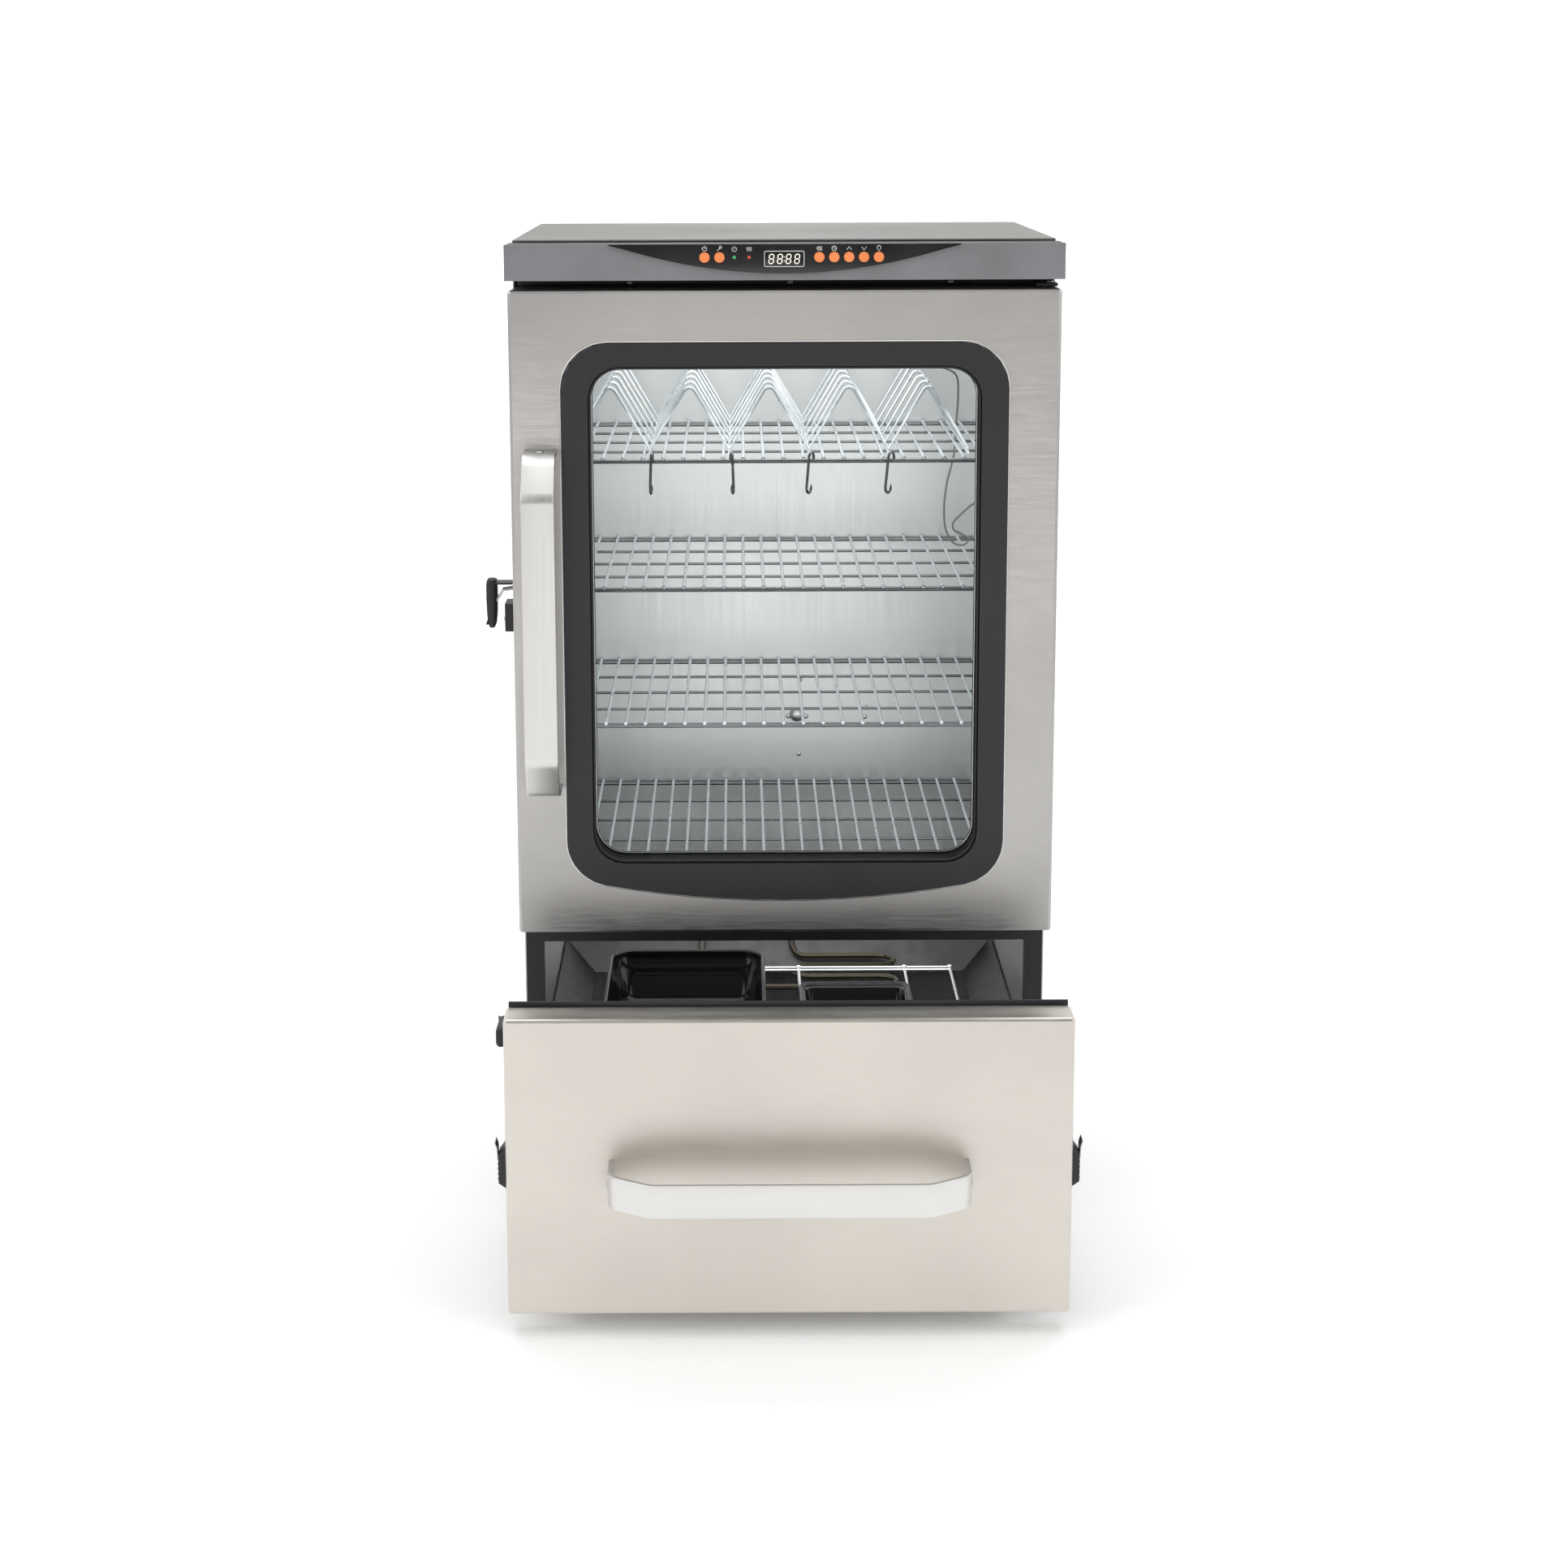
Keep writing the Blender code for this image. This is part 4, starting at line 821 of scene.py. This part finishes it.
def make_strikes():
    """Ribs down the outside of each strike on the drawer, and a flared tongue on its top."""
    for name, side in (("drawer_strike_left", -1), ("drawer_strike_right", 1)):
        low, high = corners_of(name)
        outer = low.x if side < 0 else high.x
        near, far = low.y + 0.003, high.y - 0.003
        ribs = []
        for i in range(5):
            z = low.z + 0.008 + i * 0.005
            ribs.append(([(outer, near, z), (outer, far, z)], 0.0009, False))
        wires(f"{name}_ribs", ribs, RUBBER, "drawer", 2)
        rings = []
        for z, out in ((high.z - 0.012, 0.0), (high.z - 0.002, 0.0006), (high.z + 0.004, 0.0024)):
            x, over = (outer + side * (out + thick) for thick in (0.0004, 0.0014))
            rings.append([(x, near, z), (x, far, z), (over, far, z), (over, near, z)])
        flare = loft(bmesh.new(), rings)
        bmesh.ops.recalc_face_normals(flare, faces=flare.faces)
        mesh(f"{name}_flare", flare, SCREW, "drawer", False)


# ---------------------------------------------------------------- inside the chamber and the bay

def make_chamber_details():
    """The thermostat's cover, screws and rivets on the back wall, and the hopper's tab."""
    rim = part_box("drip_hopper")[1][2]
    tab = BACK_WALL - 0.0015
    screws = [
        (0.024, 0.510), (0.023, 0.424), (0.098, 0.478),
        (0.098, 0.467), (0.011, 0.468), (0.031, 0.468),
    ]
    rows = [(x, z) for x in (-0.21, 0.0, 0.21) for z in (0.93, 0.30)]
    edge = [(-0.196, rim + 0.010), (-0.180, rim + 0.004), (0.112, rim + 0.010)]
    for name, places, radius, height in (
        ("back_wall_screws", screws, STUD, 0.0018),
        ("sensor_cover", [(0.021, 0.470)], 0.0085, 0.006),
        ("back_wall_rivets", rows, 0.0024, 0.0012),
        ("hopper_rivets", edge, STUD, 0.0014),
    ):
        centres = [(x, BACK_WALL, z) for x, z in places]
        domes(name, centres, radius, height, FACING_OUT, SCREW, "cabinet")
    outline = rounded(0.196, 0.226, rim + 0.001, rim + 0.016, 0.006, 6)
    mesh("hopper_tab", slab(bmesh.new(), outline, BACK_WALL, tab, 0.0006), SHADED_GALVANISED, "cabinet")
    rivet = [(0.211, tab, rim + 0.009)]
    domes("hopper_tab_rivet", rivet, STUD, 0.0014, FACING_OUT, SCREW, "cabinet")


def make_drawer_seal():
    """A black rubber lip behind the drawer front's top edge, a little prouder than the steel."""
    low, high = corners_of("drawer_liner")
    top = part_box("drawer_front")[1][2]
    section = rounded(high.y + 0.0002, high.y + 0.0050, top - 0.010, top + 0.0042, 0.0018, 4)
    rings = [[(x, y, z) for y, z in section] for x in (low.x - 0.0005, high.x + 0.0005)]
    lip = loft(bmesh.new(), rings)
    bmesh.ops.recalc_face_normals(lip, faces=lip.faces)
    mesh("drawer_seal", lip, RUBBER, "drawer")


def make_back():
    """Screws round the rear edge and the three pins of the power inlet."""
    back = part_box("outer_wrap")[1][1]
    places = [(x, back, z) for x in (-0.245, 0.0, 0.245) for z in (0.06, 0.52, 0.98)]
    domes("rear_screws", places, 0.0035, 0.0018, (0, 1, 0), SCREW, "cabinet")
    low, high = corners_of("power_inlet")
    centre = (low + high) / 2
    outline = rounded(-0.0115, 0.0115, -0.008, 0.008, 0.003, 5)
    rim = [(centre.x + x, high.y, centre.z + z) for x, z in outline]
    wires("inlet_rim", [(rim, 0.0010, True)], RUBBER, "cabinet", 2)
    pins = bmesh.new()
    for dx, dz in ((-0.006, -0.001), (0.0, 0.003), (0.006, -0.001)):
        blade = rounded(-0.0009, 0.0009, -0.0022, 0.0022, 0.0004, 2)
        rings = [[(centre.x + dx + x, y, centre.z + dz + z) for x, z in blade]
                 for y in (high.y - 0.0002, high.y + 0.0022)]
        loft(pins, rings)
    bmesh.ops.recalc_face_normals(pins, faces=pins.faces)
    mesh("inlet_pins", pins, SCREW, "cabinet", False)


# ---------------------------------------------------------------- finishes of the CAD nodes

# Each node's material, and the width of its eased edges.
CAD_LOOKS = {
    "outer_wrap": (SIDE_STEEL, 0.0004), "top_panel": (TOP_STEEL, 0.0),
    "base_panel": (BLACK_PAINT, 0.0015), "front_frame": (BLACK_PAINT, 0.0008),
    "chamber_liner": (LINER_STEEL, 0.0), "chamber_ceiling": (LINER_STEEL, 0.0),
    "drip_hopper": (SHADED_GALVANISED, 0.0003), "fascia": (FASCIA_PAINT, 0.0005),
    "control_housing": (BLACK_PAINT, 0.0008), "control_board": (CIRCUIT, 0.0003),
    "control_overlay": (LENS, 0.0006), "heating_element": (SHEATH, 0.0),
    "power_inlet": (RUBBER, 0.0006), "probe_jack": (CHROME, 0.0008),
    "meat_probe": (CHROME, 0.0003), "hinge_bracket_top": (BLACK_PAINT, 0.0006),
    "hinge_bracket_bottom": (BLACK_PAINT, 0.0006), "door_skin": (STEEL, 0.0),
    "window_trim": (CHARCOAL, 0.0018), "outer_glass": (GLASS, 0.0), "inner_glass": (GLASS, 0.0),
    "door_liner": (LINER_STEEL, 0.0004), "door_gasket": (SEAL, 0.0015),
    "drawer_front": (LIT_DRAWER_STEEL, 0.0), "drawer_liner": (BLACK_PAINT, 0.0006),
    "drip_tray": (SHADED_GALVANISED, 0.0006),
}
for side in ("left", "right"):
    CAD_LOOKS[f"rack_rail_{side}"] = (LINER_STEEL, 0.0004)
    CAD_LOOKS[f"drawer_rail_{side}"] = (SHADED_GALVANISED, 0.0003)
    CAD_LOOKS[f"drawer_strike_{side}"] = (RUBBER, 0.0008)
for latch in ("door_latch", "drawer_latch_left", "drawer_latch_right"):
    CAD_LOOKS[f"{latch}_base"] = (BLACK_PAINT, 0.0008)
    CAD_LOOKS[f"{latch}_lever"] = (BLACK_PAINT, 0.0004)
for number in range(1, 8):
    CAD_LOOKS[f"button_{number}"] = (ORANGE, 0.0012)


def dress_nodes():
    """Gives each CAD node that stays visible its material and, where it has one, an eased edge."""
    for name, (made, edge) in CAD_LOOKS.items():
        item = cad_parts[name]
        item.data.materials.clear()
        item.data.materials.append(made)
        if edge:
            soft = item.modifiers.new("edge", "BEVEL")
            soft.width = edge
            soft.segments = 3
            soft.limit_method = "ANGLE"
            soft.angle_limit = math.radians(35)
            soft.harden_normals = True


# ---------------------------------------------------------------- stage

def make_stage():
    """A pale sweep: a floor that curves up into a backdrop."""
    half, near, far, bend, top = 9.0, -9.0, 3.5, 2.0, 9.0
    profile = [(near, 0.0), (far, 0.0)]
    profile += [(u, v) for u, v in arc((far, bend), bend, 270, 360, 24)]
    profile.append((far + bend, top))
    shape = bmesh.new()
    rows = [[shape.verts.new((x, y, z - 0.0004)) for y, z in profile] for x in (-half, half)]
    for i in range(len(profile) - 1):
        shape.faces.new((rows[0][i], rows[1][i], rows[1][i + 1], rows[0][i + 1]))
    data = bpy.data.meshes.new("sweep")
    shape.to_mesh(data)
    shape.free()
    for face in data.polygons:
        face.use_smooth = True
    sweep = bpy.data.objects.new("sweep", data)
    bpy.context.scene.collection.objects.link(sweep)
    paper = material("pale_sweep", (0.93, 0.93, 0.925), 0.8)
    clouds = noise(paper, 0.8, detail=2.0)
    tint(paper, clouds, (0.925, 0.925, 0.92), (0.94, 0.94, 0.935))
    shader_of(paper).inputs["Emission Color"].default_value = (1.0, 1.0, 1.0, 1.0)
    shader_of(paper).inputs["Emission Strength"].default_value = 0.16
    data.materials.append(paper)


def softbox(name, place, aim, size, power, colour=(1.0, 1.0, 1.0)):
    """A rectangular lamp at a place, turned towards another."""
    data = bpy.data.lights.new(name, "AREA")
    data.shape = "RECTANGLE"
    data.size, data.size_y = size
    data.energy = power
    data.color = colour
    lamp = bpy.data.objects.new(name, data)
    lamp.location = place
    lamp.rotation_euler = (Vector(aim) - Vector(place)).to_track_quat("-Z", "Y").to_euler()
    bpy.context.scene.collection.objects.link(lamp)


def make_world():
    """Bright overhead and dark at the horizon, as in a studio, but pale to the camera."""
    world = bpy.data.worlds.new("studio")
    world.use_nodes = True
    place = node(world, "ShaderNodeTexCoord")
    parts = node(world, "ShaderNodeSeparateXYZ")
    height = node(
        world, "ShaderNodeMapRange", From_Min=0.0, From_Max=0.75, To_Min=0.09, To_Max=0.50
    )
    seen = node(world, "ShaderNodeLightPath")
    either = world.node_tree.nodes.new("ShaderNodeMix")
    either.inputs["B"].default_value = 0.90
    link(world, place.outputs["Generated"], parts.inputs["Vector"])
    link(world, parts.outputs["Z"], height.inputs["Value"])
    link(world, height.outputs["Result"], either.inputs["A"])
    link(world, seen.outputs["Is Camera Ray"], either.inputs["Factor"])
    background = world.node_tree.nodes["Background"]
    background.inputs["Color"].default_value = (1.0, 1.0, 1.0, 1.0)
    link(world, either.outputs["Result"], background.inputs["Strength"])
    bpy.context.scene.world = world
    bpy.context.scene.view_settings.view_transform = "Standard"


def make_lights():
    softbox("left_softbox", (-3.2, -2.4, 2.3), (0, 0, 0.5), (2.2, 2.8), 53)
    softbox("right_softbox", (3.2, -2.2, 2.0), (0, 0, 0.5), (2.0, 2.8), 38)
    softbox("top_softbox", (0, -0.8, 3.6), (0, 0, 0.4), (3.0, 2.4), 34)
    softbox("floor_fill", (0, -3.6, 0.45), (0, -0.2, 0.25), (3.0, 0.7), 8, (1.0, 0.97, 0.93))
    softbox("backdrop_light", (0, 1.6, 4.6), (0, 5.2, 0.6), (5.0, 1.2), 150)
    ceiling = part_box("chamber_ceiling")[0][2]
    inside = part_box("chamber_liner")[0][1] + 0.004
    softbox("chamber_fill", (0.0, inside, 0.58), (0.0, 1.0, 0.52), (0.40, 0.54), 0.52)
    softbox("chamber_lamp", (0.0, 0.10, ceiling - 0.006), (0.0, 0.10, 0.0), (0.40, 0.22), 0.75)
    softbox("chamber_floor_lamp", (0.0, 0.10, 0.375), (0.0, 0.10, 0.0), (0.40, 0.24), 0.70)


make_camera()
make_probe()
for number, height in enumerate(SHELF_HEIGHTS, 1):
    make_shelf(number, height)
make_rib_rack()
make_hooks()
make_cradle()
make_pan("water_pan", 0.024, 0.2452)
make_pan("chip_box", 0.014, 0.2415)
make_window()
make_handle("door_handle", "door", HANDLE_UPRIGHT)
make_handle("drawer_handle", "drawer", HANDLE_ACROSS)
make_controls()
make_top_strip()
make_latches()
make_strikes()
make_chamber_details()
make_drawer_seal()
make_back()
dress_nodes()
make_stage()
make_world()
make_lights()
